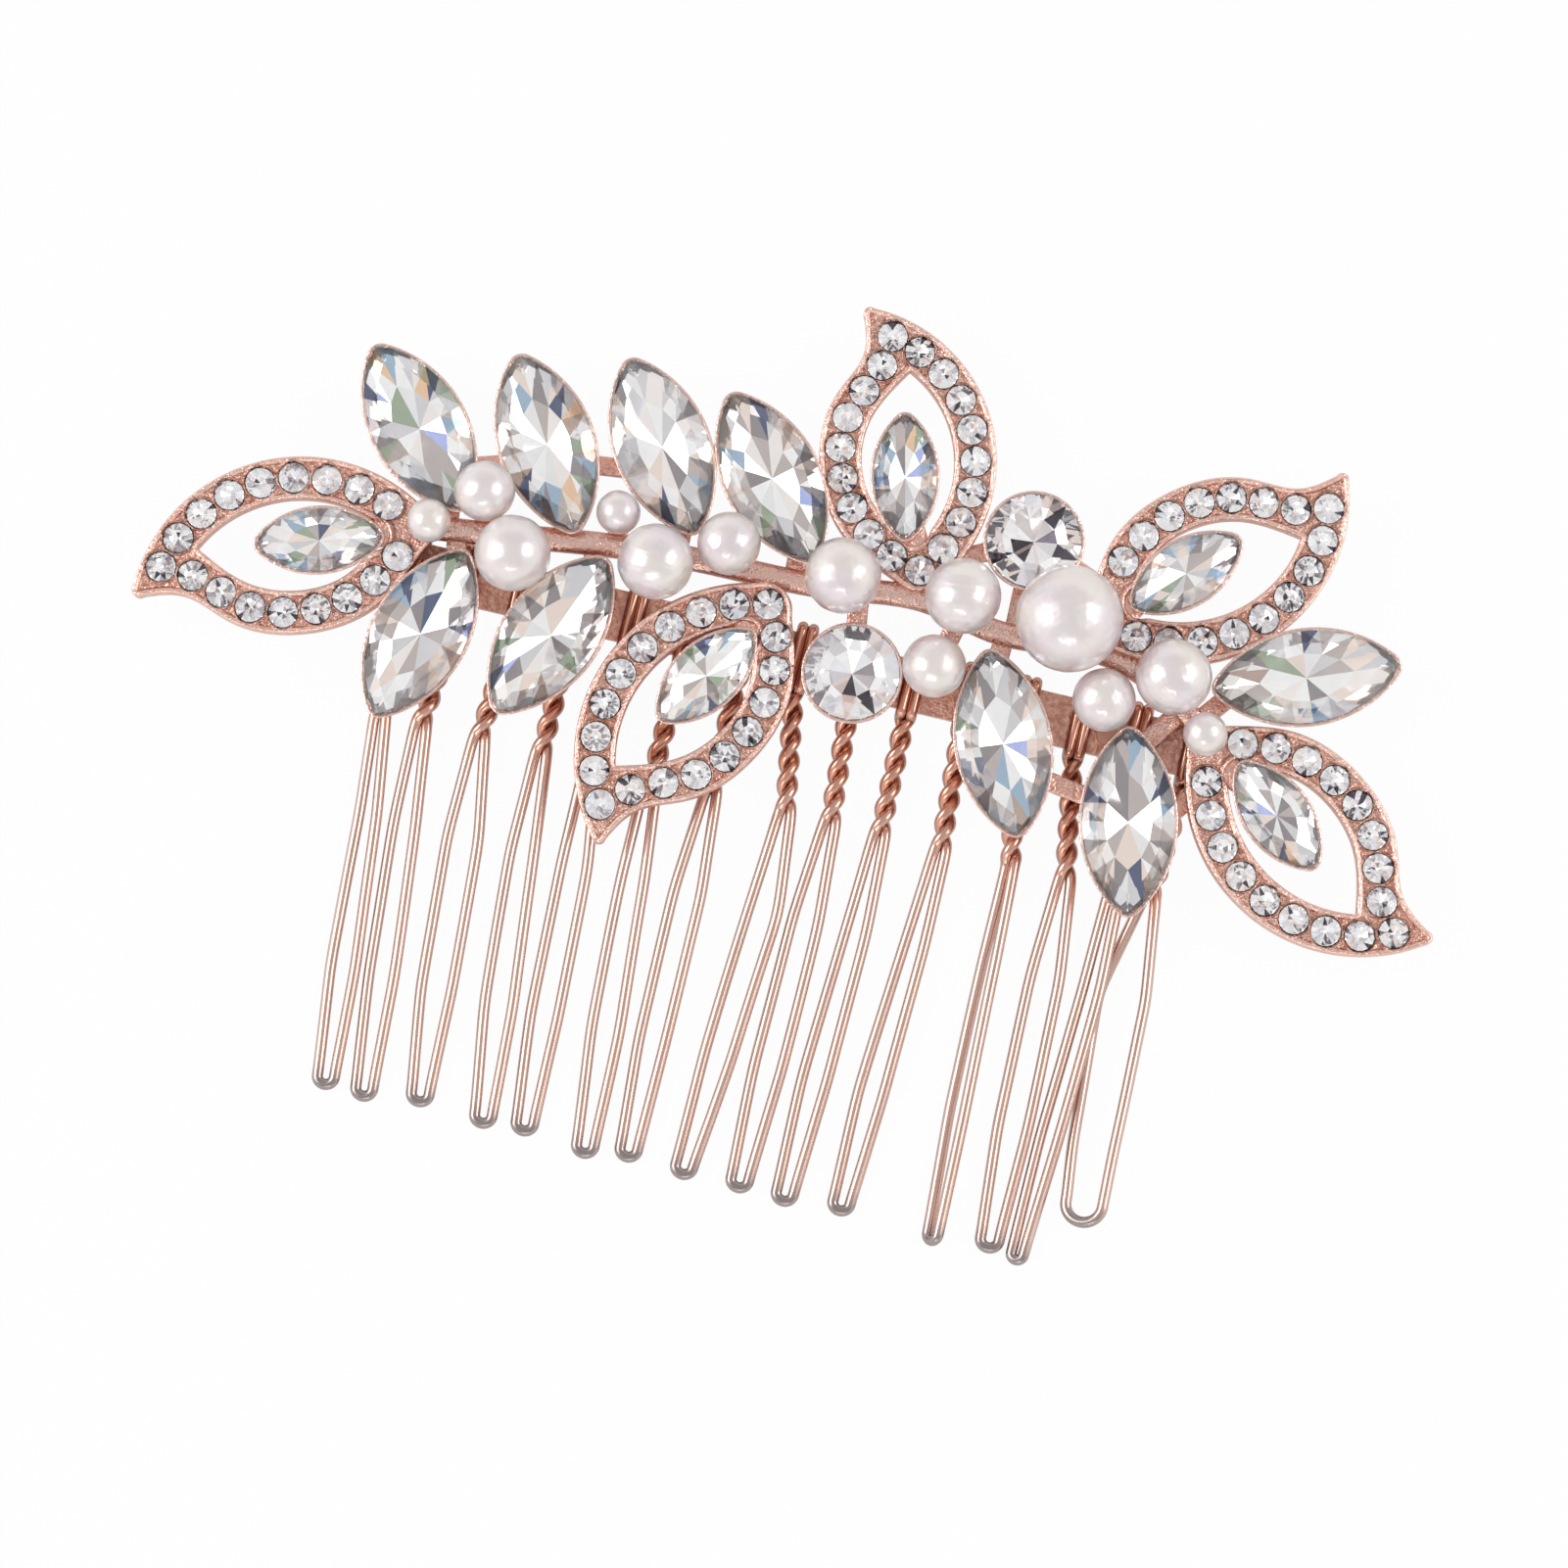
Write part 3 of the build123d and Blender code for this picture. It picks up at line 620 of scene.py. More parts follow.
@dataclass(frozen=True)
class PlatedCasting:
    """Grainy rose gold, darkened by painted shade where it is recessed, with a painted highlight paler on its
    rims, and greyer and paler on a cup's lip.

    It reads a note of how deep each place lies, from -1 on a cup's lip by 0 on a rim to 1 in the depths,
    which carries the painted shade in the depths and the painted highlight on the rims. The shares say how
    much specks show the rim's colour, how much the rims show it as a painted highlight, and how much of its
    roughness and grain a rim keeps.
    """

    # the pale tone of the plating's clouds and specks, and the colour of the painted highlight on the rims
    rim: Tint = (0.95, 0.66, 0.57)
    face: Tint = (0.83, 0.43, 0.33)
    # greyer and paler tint of a cup's lip
    lip: Tint = (0.74, 0.68, 0.67)
    # painted shade: the dark colour of the deepest recesses
    depth: Tint = (0.26, 0.09, 0.045)
    cloud_range: Span = (0.35, 0.65)
    speck_share: float = 0.6
    # how strongly the painted highlight shows on the rims
    rim_highlight_share: float = 0.55
    rim_end: float = 0.2
    gloss: Span = (0.3, 0.12)
    rim_gloss: float = 0.75
    rim_grain: float = 0.5
    grain_height: float = 0.0003

    def material(self, grain: bpy.types.NodeTree) -> bpy.types.Material:
        """Makes the material.

        Args:
            grain: the node group of the casting's skin.

        Returns:
            The material.
        """
        material, g, shader = Principled(roughness=0.25, metallic=1.0).start("plated_casting")
        skin = g.add("ShaderNodeGroup", {"node_tree": grain}, Place=g.place()).outputs
        painted_shading = g.note("painted_shading")
        crest = g.span(painted_shading, 0, self.rim_end, 1, 0)
        colour = g.mix(g.span(skin["Cloud"], *self.cloud_range), self.face, self.rim)
        colour = g.mix(g.span(painted_shading, -1, 0, 1, 0), colour, self.lip)
        # painted shade: the deeper the place lies, the nearer its colour comes to the dark tint of the depths
        colour = g.mix(g.span(painted_shading, 0, 1), colour, self.depth)
        colour = g.mix(g.maths("MULTIPLY", skin["Speckle"], self.speck_share), colour, self.rim)
        # painted highlight: the rims' crests are made paler with the rim's colour
        colour = g.mix(g.maths("MULTIPLY", crest, self.rim_highlight_share), colour, self.rim)
        rough = g.span(skin["Speckle"], 0, 1, *self.gloss)
        rough = g.maths("MULTIPLY", rough, g.span(crest, 0, 1, 1, self.rim_gloss))
        height = g.maths("MULTIPLY", skin["Height"], g.span(crest, 0, 1, 1, self.rim_grain))
        g.feed(shader, Base_Color=colour, Roughness=rough, Normal=g.bump(height, 1.0, self.grain_height))
        return material


@dataclass(frozen=True)
class GrainyMetal:
    """Metal with the casting's grain, one of whose masks leads from a deep to a pale tint."""

    name: str
    roughness: float
    mask: str
    deep: Tint
    pale: Tint
    strength: float
    height: float

    def material(self, grain: bpy.types.NodeTree) -> bpy.types.Material:
        """Makes the material.

        Args:
            grain: the node group of the casting's skin.

        Returns:
            The material.
        """
        material, g, shader = Principled(self.roughness, metallic=1.0).start(self.name)
        skin = g.add("ShaderNodeGroup", {"node_tree": grain}, Place=g.place()).outputs
        bend = g.bump(skin["Height"], self.strength, self.height)
        g.feed(shader, Base_Color=g.mix(skin[self.mask], self.deep, self.pale), Normal=bend)
        return material


BLASTED_BAR = GrainyMetal("blasted_bar", 0.38, "Speckle", (0.66, 0.34, 0.26), (0.95, 0.62, 0.50), 0.8, 0.0002)
SOLDER = GrainyMetal("plated_solder", 0.35, "Cloud", (0.55, 0.30, 0.22), (0.80, 0.46, 0.35), 0.3, 0.00005)


@dataclass(frozen=True)
class DrawnWire:
    """Satin wire: deep copper in the twisted neck, which is painted shade and painted reflections between the
    strands, paler down the legs, darkened by painted shade along its sides, and darker at its tip.

    It reads the rod's notes and "down", which runs from 0 at the bar to 1 at the tip of a loop.
    """

    # painted shade and painted reflections between the twisted strands of the neck
    neck: Tint = (0.72, 0.35, 0.24)
    loop: Tint = (0.73, 0.49, 0.41)
    # painted shade along the sides, and the darker tint of the tip
    side_shade_and_tip: Tint = (0.40, 0.34, 0.33)
    streak: Tint = (0.88, 0.68, 0.61)
    neck_shade_end: Span = (0.16, 0.32)
    tip_start: Span = (0.955, 0.995)
    streaks: Span = (0.42, 0.66, 0, 0.45)
    sides: Span = (0.78, 0.98, 0, 0.75)
    gloss: Span = (0.3, 0.7, 0.16, 0.3)
    bump: float = 0.2
    line_height: float = 0.00002

    def material(self, streaks: bpy.types.NodeTree) -> bpy.types.Material:
        """Makes the material.

        Args:
            streaks: the node group of the drawn lines.

        Returns:
            The material.
        """
        material, g, shader = Principled(roughness=0.24, metallic=1.0).start("drawn_wire")
        lines = g.add("ShaderNodeGroup", {"node_tree": streaks}, Course=g.note("course", "Vector")).outputs
        down = g.note("down")
        # painted shade and reflections in the neck, giving way to the loop's colour down the tooth
        colour = g.mix(g.span(down, *self.neck_shade_end), self.neck, self.loop)
        colour = g.mix(g.span(lines["Streak"], *self.streaks), colour, self.streak)
        # painted shade where the rod's skin stands upright, along its sides
        colour = g.mix(g.span(g.note("side"), *self.sides), colour, self.side_shade_and_tip)
        # darker at the tip of the loop
        colour = g.mix(g.span(down, *self.tip_start), colour, self.side_shade_and_tip)
        bend = g.bump(lines["Streak"], self.bump, self.line_height)
        g.feed(shader, Base_Color=colour, Roughness=g.span(lines["Mottle"], *self.gloss), Normal=bend)
        return material


@dataclass(frozen=True)
class ClearCrystal:
    """Clear cut glass, with faint polishing waves between a cool and a warm tint."""

    cool: Tint = (0.985, 0.99, 1.0)
    warm: Tint = (1.0, 0.995, 0.985)
    waves: float = 900.0
    wave_range: Span = (0.3, 0.7)

    def material(self) -> bpy.types.Material:
        """Makes the material.

        Returns:
            The material.
        """
        material, g, shader = Principled(roughness=0.0, transmission=1.0, ior=1.46).start("clear_crystal")
        wave = g.span(g.noise(g.place(), self.waves, detail=2.0), *self.wave_range)
        g.feed(shader, Base_Color=g.mix(wave, self.cool, self.warm))
        return material


@dataclass(frozen=True)
class Foil:
    """The mirror foil behind a stone, whose facets carry painted reflections through a faint haze.

    Each facet gets one tint by chance, white, grey, dark or coloured: painted reflections that stand for the
    surroundings mirrored in the stone and for the coloured fire of cut glass. Each tint is given with the
    place, in the range of the note "facet", where it starts.
    """

    name: str
    metallic: float
    painted_reflections: tuple[tuple[float, Tint], ...]
    haze: Tint = (0.6, 0.56, 0.54)
    clouds: float = 1400.0
    clear: Span = (0.3, 0.7, 0.95, 1.0)

    def material(self) -> bpy.types.Material:
        """Makes the material.

        Returns:
            The material.
        """
        material, g, shader = Principled(roughness=0.015, metallic=self.metallic).start(self.name)
        # painted reflection: one tint for each facet, picked by its random note
        tint = g.steps(g.note("facet"), self.painted_reflections)
        clear = g.span(g.noise(g.place(), self.clouds, detail=2.0), *self.clear)
        g.feed(shader, Base_Color=g.mix(clear, self.haze, tint))
        return material


# Painted reflections: each facet's tint stands for the surroundings mirrored in it or for the coloured fire
# of the glass.
LARGE_FOIL = Foil(
    "stone_foil",
    0.76,
    (
        (0.00, (1.00, 1.00, 1.00)),
        (0.20, (0.74, 0.73, 0.75)),
        (0.36, (0.98, 0.93, 0.90)),
        (0.50, (0.58, 0.52, 0.50)),
        (0.63, (0.93, 0.80, 0.72)),
        (0.73, (0.34, 0.31, 0.32)),
        (0.81, (0.93, 0.92, 0.93)),
        (0.865, (0.40, 0.54, 0.68)),
        (0.90, (0.12, 0.14, 0.24)),
        (0.935, (0.40, 0.48, 0.36)),
        (0.965, (0.93, 0.64, 0.42)),
        (0.98, (0.55, 0.42, 0.36)),
    ),
)
# Painted reflections for the small stones, mostly white, grey and dark.
SMALL_FOIL = Foil(
    "small_stone_foil",
    0.85,
    (
        (0.00, (1.00, 1.00, 1.00)),
        (0.34, (0.74, 0.71, 0.73)),
        (0.50, (1.00, 0.98, 0.99)),
        (0.72, (0.36, 0.32, 0.34)),
        (0.78, (0.93, 0.80, 0.74)),
        (0.84, (0.90, 0.90, 0.94)),
        (0.94, (0.06, 0.05, 0.07)),
    ),
)


@dataclass(frozen=True)
class Nacre:
    """Pearl: milky, faintly pink and cream in patches, with a fine pale bloom, under a clear lacquer."""

    shader: Principled = Principled(
        roughness=0.36, metallic=0.35, coat=1.0, coat_roughness=0.17, coat_ior=2.1, scatter=0.1
    )
    pink: Tint = (0.86, 0.76, 0.80)
    cream: Tint = (0.93, 0.85, 0.79)
    bloom: Tint = (0.96, 0.93, 0.91)
    patches: float = 320.0
    patch_range: Span = (0.35, 0.65)
    fine: float = 2400.0
    fine_range: Span = (0.4, 0.75, 0, 0.3)
    bump: float = 0.06
    height: float = 0.00004

    def material(self) -> bpy.types.Material:
        """Makes the material.

        Returns:
            The material.
        """
        material, g, shader = self.shader.start("nacre")
        place = g.place()
        warm = g.span(g.noise(place, self.patches, detail=2.0), *self.patch_range)
        bloom = g.noise(place, self.fine, detail=3.0, roughness=0.6)
        colour = g.mix(warm, self.pink, self.cream)
        colour = g.mix(g.span(bloom, *self.fine_range), colour, self.bloom)
        g.feed(shader, Base_Color=colour, Normal=g.bump(bloom, self.bump, self.height))
        return material


# ------------------------------------------------------------- shared shapes
FRAME: dict = {}


class Bench:
    """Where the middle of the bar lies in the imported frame, in millimetres."""

    origin: np.ndarray = np.zeros(3)

    @classmethod
    def settle(cls, bar_back: float) -> None:
        """Reads the place of the bar's node and keeps it as the origin of every shape.

        Args:
            bar_back: height of the bar's back over the back of the comb.
        """
        low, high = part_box("comb_bar")
        cls.origin = np.array(((low.x + high.x) / 2, (low.y + high.y) / 2, low.z)) / MM - (0, 0, bar_back)


def nodes_named(*starts: str) -> list[str]:
    """The CAD nodes whose names start in one of these ways, in the order of their names."""
    return sorted(node for node in FRAME["nodes"] if node.startswith(starts))


def node_points(node: str) -> np.ndarray:
    """Reads a CAD node's mesh.

    Args:
        node: the node's name.

    Returns:
        Its points in millimetres from the middle of the bar.
    """
    mesh = FRAME["nodes"][node].data
    flat = np.zeros(len(mesh.vertices) * 3, np.float32)
    mesh.vertices.foreach_get("co", flat)
    return flat.reshape(-1, 3) / MM - Bench.origin


def node_box(node: str) -> tuple[np.ndarray, np.ndarray]:
    """Measures a CAD node's box.

    Args:
        node: the node's name.

    Returns:
        The box's middle and its size.
    """
    points = node_points(node)
    low, high = points.min(0), points.max(0)
    return (low + high) / 2, high - low


def seats_of(node: str, reach: float = 0.5) -> np.ndarray:
    """Finds the culets of a leaf's small stones: means of the node's lowest points that lie together.

    Args:
        node: the stones' node.
        reach: how far apart points of one culet may lie.

    Returns:
        One row for each stone.
    """
    points = node_points(node)
    low = points[points[:, 2] < points[:, 2].min() + FLUSH]
    near = np.linalg.norm(low[:, None] - low[None], axis=2) < reach
    means = (near @ low) / near.sum(1, keepdims=True)
    return np.unique(np.round(means, 2), axis=0)


def long_axis(node: str) -> tuple[np.ndarray, float]:
    """Finds how a pointed stone lies.

    Args:
        node: the stone's node.

    Returns:
        The middle of its keel, and the direction in degrees from there to its farthest point.
    """
    points = node_points(node)
    centre = points[points[:, 2] < points[:, 2].min() + FLUSH][:, :2].mean(0)
    far = points[np.argmax(np.linalg.norm(points[:, :2] - centre, axis=1)), :2] - centre
    return centre, math.degrees(math.atan2(far[1], far[0]))


def spline(knots: np.ndarray, count: int) -> np.ndarray:
    """A smooth line through knots: a natural cubic in the chord length, sampled at even chord steps.

    The second derivatives M solve h(i-1) M(i-1) + 2 (h(i-1) + h(i)) M(i) + h(i) M(i+1) = 6 (d(i) - d(i-1)),
    where h are the chord lengths and d the slopes of the chords, with M zero at both ends.

    Args:
        knots: the places it goes through, one row each.
        count: how many points it gets.

    Returns:
        The line, one row for each point.
    """
    h = np.linalg.norm(np.diff(knots, axis=0), axis=1)
    t = np.concatenate(([0], np.cumsum(h)))
    n = len(knots)
    matrix, right = np.eye(n), np.zeros_like(knots)
    slope = np.diff(knots, axis=0) / h[:, None]
    inner = np.arange(1, n - 1)
    matrix[inner, inner - 1], matrix[inner, inner + 1] = h[:-1], h[1:]
    matrix[inner, inner] = 2 * (h[:-1] + h[1:])
    right[1:-1] = 6 * (slope[1:] - slope[:-1])
    bend = np.linalg.solve(matrix, right)
    x = np.linspace(0, t[-1], count)
    k = np.clip(np.searchsorted(t, x) - 1, 0, n - 2)
    a, b = ((t[k + 1] - x) / h[k])[:, None], ((x - t[k]) / h[k])[:, None]
    curve = a * knots[k] + b * knots[k + 1]
    return curve + ((a**3 - a) * bend[k] + (b**3 - b) * bend[k + 1]) * (h[k] ** 2)[:, None] / 6


def arc(start: Point, middle: Point, end: Point, count: int) -> np.ndarray:
    """Points spread evenly over the circular arc through three places.

    With the places as complex numbers p, q and r and w = (r - p) / (q - p), the centre is
    p - (p - q) (w - |w|^2) / (2 i im w).

    Args:
        start: where the arc starts.
        middle: a place on it.
        end: where it ends.
        count: how many points it gets.

    Returns:
        The points, one row each.
    """
    p, q, r = (complex(*v) for v in (start, middle, end))
    w = (r - p) / (q - p)
    centre = p - (p - q) * (w - abs(w) ** 2) / (2j * w.imag)
    radius = abs(p - centre)
    passing = np.angle((q - centre) / (p - centre)) % (2 * math.pi)
    sweep = np.angle((r - centre) / (p - centre)) % (2 * math.pi)
    sweep = sweep if passing < sweep else sweep - 2 * math.pi
    angle = np.angle(p - centre) + np.linspace(0, sweep, count)
    return np.stack([centre.real + radius * np.cos(angle), centre.imag + radius * np.sin(angle)], 1)


def evenly(line: np.ndarray, count: int) -> np.ndarray:
    """Spreads a line's points evenly.

    Args:
        line: the line, one row for each point.
        count: how many points it gets.

    Returns:
        The same line with its points at even distances.
    """
    t = np.concatenate(([0], np.cumsum(np.linalg.norm(np.diff(line, axis=0), axis=1))))
    x = np.linspace(0, t[-1], count)
    return np.stack([np.interp(x, t, line[:, k]) for k in range(line.shape[1])], 1)


def soften(values: np.ndarray, steps: float, closed: bool) -> np.ndarray:
    """Smooths values along the first axis by a bell, exp(-(k / steps)^2 / 2), out to three of its widths.

    Args:
        values: the values, one row for each place.
        steps: the bell's width.
        closed: whether the last place lies beside the first.

    Returns:
        The smoothed values.
    """
    reach = int(math.ceil(3 * steps))
    weight = np.exp(-0.5 * (np.arange(-reach, reach + 1) / steps) ** 2)
    weight /= weight.sum()
    edge = [(reach, reach)] + [(0, 0)] * (values.ndim - 1)
    padded = np.pad(values, edge, mode="wrap" if closed else "edge")
    return sum(w * padded[k : k + len(values)] for k, w in enumerate(weight))


def navette(length: float, width: float, tip: float, count: int) -> np.ndarray:
    """Points spread evenly over a pointed oval, from its right tip round by the upper side.

    Each half is a long arc of radius R = (e^2 + h^2 - t^2) / (2 (h - t)) between two tip arcs of radius t,
    where e is the place of a tip arc's centre and h half the width; the arcs meet at the angle q with
    tan q = (R - h) / e.

    Args:
        length: the oval's length.
        width: its width.
        tip: radius of its tips.
        count: how many points it gets.

    Returns:
        The points, one row each.
    """
    end, half = length / 2 - tip, width / 2
    radius = (end**2 + half**2 - tip**2) / (2 * (half - tip))
    meet = math.atan2(radius - half, end)
    parts = ((0, meet, 60), (meet, math.pi - meet, 600), (math.pi - meet, math.pi, 60))
    right, long, left = (np.linspace(*part) for part in parts)
    arcs = ((right, end, 0.0, tip), (long[1:-1], 0.0, half - radius, radius), (left, -end, 0.0, tip))
    side = np.concatenate([np.stack([x + r * np.cos(a), y + r * np.sin(a)], 1) for a, x, y, r in arcs])
    side = evenly(side, count // 2 + 1)[:-1]
    return np.concatenate([side, -side])


def full_turn(count: int) -> np.ndarray:
    """So many even angles of a full turn."""
    return np.linspace(0, 2 * math.pi, count, endpoint=False)


def circle(diameter: float, count: int) -> np.ndarray:
    """Points spread evenly over a circle."""
    angle = 2 * math.pi * np.arange(count) / count
    return np.stack([np.cos(angle), np.sin(angle)], 1) * diameter / 2


def outline(size: Place, count: int) -> np.ndarray:
    """A stone's outline in so many points: a pointed oval, or a circle where length and width agree."""
    return circle(size[0], count) if size[0] == size[1] else navette(*size, count)


def swell(values: np.ndarray, power: float) -> np.ndarray:
    """Values raised to a power, with their signs kept."""
    return np.sign(values) * np.abs(values) ** power


def at(flat: np.ndarray, height: float) -> np.ndarray:
    """Flat points lifted to a height."""
    return np.column_stack([flat, np.full(len(flat), height)])


# -------------------------------------------------------------------- stones
@dataclass
class Stone:
    """A foiled stone: a clear crown over a mirrored back, with flat facets all over.

    The back has a tip, mains to a middle ring and halves to the girdle; the crown has halves and stars to the
    table. Both follow the stone's outline, shrunk by the shares below.

    Attributes:
        size: length, width and tip radius.
        steps: points of a sparse ring.
        band: height of the girdle.
        crown: height of the crown over it.
        depth: depth of the back.
        table: length and width of the table as shares of the stone's.
        break_ring: size of the back's middle ring and how deep it lies, as shares.
    """

    size: Place
    steps: int
    band: float = 0.25
    crown: float = 0.7
    depth: float = 1.25
    table: Point = (0.80, 0.72)
    break_ring: Point = (0.52, 0.56)

    def surface(self, dice: np.random.Generator) -> Surface:
        """Cuts one stone.

        Args:
            dice: the source of its facets' random numbers.

        Returns:
            The stone, girdle at height zero, with the note "facet": a random number for each foil facet.
        """
        dense, sparse = outline(self.size, 2 * self.steps), outline(self.size, self.steps)
        share, drop = self.break_ring
        stone = fan_rings(
            [
                np.array([[0.0, 0.0, -self.depth]]),
                at(sparse * share, -self.depth * drop),
                at(dense, 0.0),
                at(dense, self.band),
                at(sparse * np.array(self.table), self.band + self.crown),
            ]
        )
        row = stone.notes.pop("row")
        stone.slots = (row < 2).astype(int)
        stone.notes["facet"] = dice.random(len(row))
        return stone


@dataclass
class StoneWork:
    """All the stones, cut and laid where their nodes lie.

    The foil lies behind the pointed stones, the small foil behind the others. Lean and turns are in degrees.
    """

    crystal: bpy.types.Material
    foil: bpy.types.Material
    small_foil: bpy.types.Material
    large: Stone
    small: Stone
    round: Stone
    pave: Stone
    lean: float = 3.0
    round_turn: float = 45
    pave_turn: float = 60

    def navette_at(self, node: str, stone: Stone, dice: np.random.Generator) -> Surface:
        """A pointed stone in the place of its node: on its keel, with the long axis to its farthest point."""
        centre, turn = long_axis(node)
        return stone.surface(dice).moved(*centre, LEVELS.leaf_front, turn)

    def round_at(self, node: str, dice: np.random.Generator) -> Surface:
        """A round stone in the place of its node, turned by chance."""
        x, y, _ = node_box(node)[0]
        return self.round.surface(dice).moved(x, y, LEVELS.leaf_front, dice.random() * self.round_turn)

    def pave_row(self, node: str, dice: np.random.Generator) -> Surface:
        """Lays the small stones of a leaf, each turned and tipped a little by hand.

        Args:
            node: their node.
            dice: the source of their turns and tips.

        Returns:
            All of them as one surface.
        """
        stones = []
        for x0, y0, z0 in seats_of(node):
            stone = self.pave.surface(dice)
            lean = np.radians(dice.normal(0, self.lean, 2))
            x, y, z = stone.points.T
            stone.points = np.stack([x + z * lean[0], y + z * lean[1], z - x * lean[0] - y * lean[1]], 1)
            stones.append(stone.moved(x0, y0, z0 + self.pave.depth, dice.random() * self.pave_turn))
        return join(stones)

    def build(self, dice: np.random.Generator) -> None:
        """Makes every stone piece in the place of its node.

        Args:
            dice: the source of all that is left to chance.
        """
        for node in nodes_named("leaf_stone_", "marquise_stone_", "pave_stones_", "round_stone_"):
            foil = self.small_foil
            if node.startswith("pave_stones_"):
                made = self.pave_row(node, dice)
            elif node.startswith("round_stone_"):
                made = self.round_at(node, dice)
            else:
                cut = self.large if node.startswith("marquise_stone_") else self.small
                made, foil = self.navette_at(node, cut, dice), self.foil
            make_piece("cut_" + node, made, [self.crystal, foil], [node], smooth=False)


# -------------------------------------------------------------------- pearls
@dataclass
class PearlWork:
    """Round pearls that are never quite round.

    Attributes:
        nacre: their material.
        rows: rows of faces from pole to pole.
        columns: faces round a pearl.
        ripple: half height of the slow waves as a share of the radius.
        dimple: half height of the short waves.
        slow: how many slow waves there are, and how fast they run, in radians over the radius.
        short: the same for the short waves, in radians over a millimetre.
    """

    nacre: bpy.types.Material
    rows: int = 72
    columns: int = 120
    ripple: float = 0.004
    dimple: float = 0.03
    slow: tuple[int, float] = (4, 3)
    short: tuple[int, float] = (8, 4.5)

    @staticmethod
    def waves(places: np.ndarray, count: int, spread: float, dice: np.random.Generator) -> np.ndarray:
        """The mean of so many sine waves in random directions at some places."""
        drawn = (np.sin(places @ dice.normal(0, spread, 3) + dice.random() * PHASE) for _ in range(count))
        return sum(drawn) / count

    def pearl(self, centre: np.ndarray, radius: float, dice: np.random.Generator) -> Surface:
        """Turns one pearl.

        p(u, v) = centre + r (sin u cos v, sin u sin v, cos u), where r dips below the radius by a few slow
        waves and many short ones of the place, so that the pearl stays inside its sphere and its highlights
        break up. Both poles are single points.

        Args:
            centre: its middle.
            radius: its radius.
            dice: the source of its waves.

        Returns:
            The pearl.
        """
        u = np.linspace(0, math.pi, self.rows + 1)[1:-1, None]
        v = full_turn(self.columns)[None]
        ball = np.stack([np.sin(u) * np.cos(v), np.sin(u) * np.sin(v), np.cos(u) + 0 * v], -1).reshape(-1, 3)
        ball = np.concatenate([[[0, 0, 1.0]], ball, [[0, 0, -1.0]]])
        slow = self.waves(ball, *self.slow, dice)
        short = self.waves(radius * ball, *self.short, dice)
        reach = radius * (1 - self.ripple * (1 + slow)) - self.dimple * (1 + short)
        index = 1 + np.arange((self.rows - 1) * self.columns).reshape(self.rows - 1, self.columns)
        right = np.roll(index, -1, axis=1)
        quads = np.stack([index[:-1], index[1:], right[1:], right[:-1]], -1).reshape(-1, 4)
        top = np.stack([np.zeros(self.columns, int), index[0], right[0]], 1)
        bottom = np.stack([np.full(self.columns, len(ball) - 1), right[-1], index[-1]], 1)
        sizes = np.repeat((4, 3), (len(quads), 2 * self.columns))
        corners = np.concatenate([quads.ravel(), top.ravel(), bottom.ravel()])
        return Surface.plain(centre + ball * reach[:, None], corners, sizes).outward()

    def build(self, dice: np.random.Generator) -> None:
        """Makes every pearl in the place of its node.

        Args:
            dice: the source of their waves.
        """
        for node in nodes_named("pearl_"):
            centre, size = node_box(node)
            ball = self.pearl(centre, float(size.max()) / 2, dice)
            make_piece("nacre_" + node, ball, [self.nacre], [node], smooth=True)


# --------------------------------------------------------------------- teeth
@dataclass(frozen=True)
class Bend:
    """How one tooth is bent.

    Attributes:
        neck_run: sideways run of the neck.
        loop_run: sideways run of the loop.
        turn: turn of the loop about its axis, in degrees.
        length: length of the loop.
        left: places of the left leg beside the axis, at the two bends and at the tip.
        right: the same for the right leg.
    """

    neck_run: float
    loop_run: float
    turn: float
    length: float
    left: Place
    right: Place


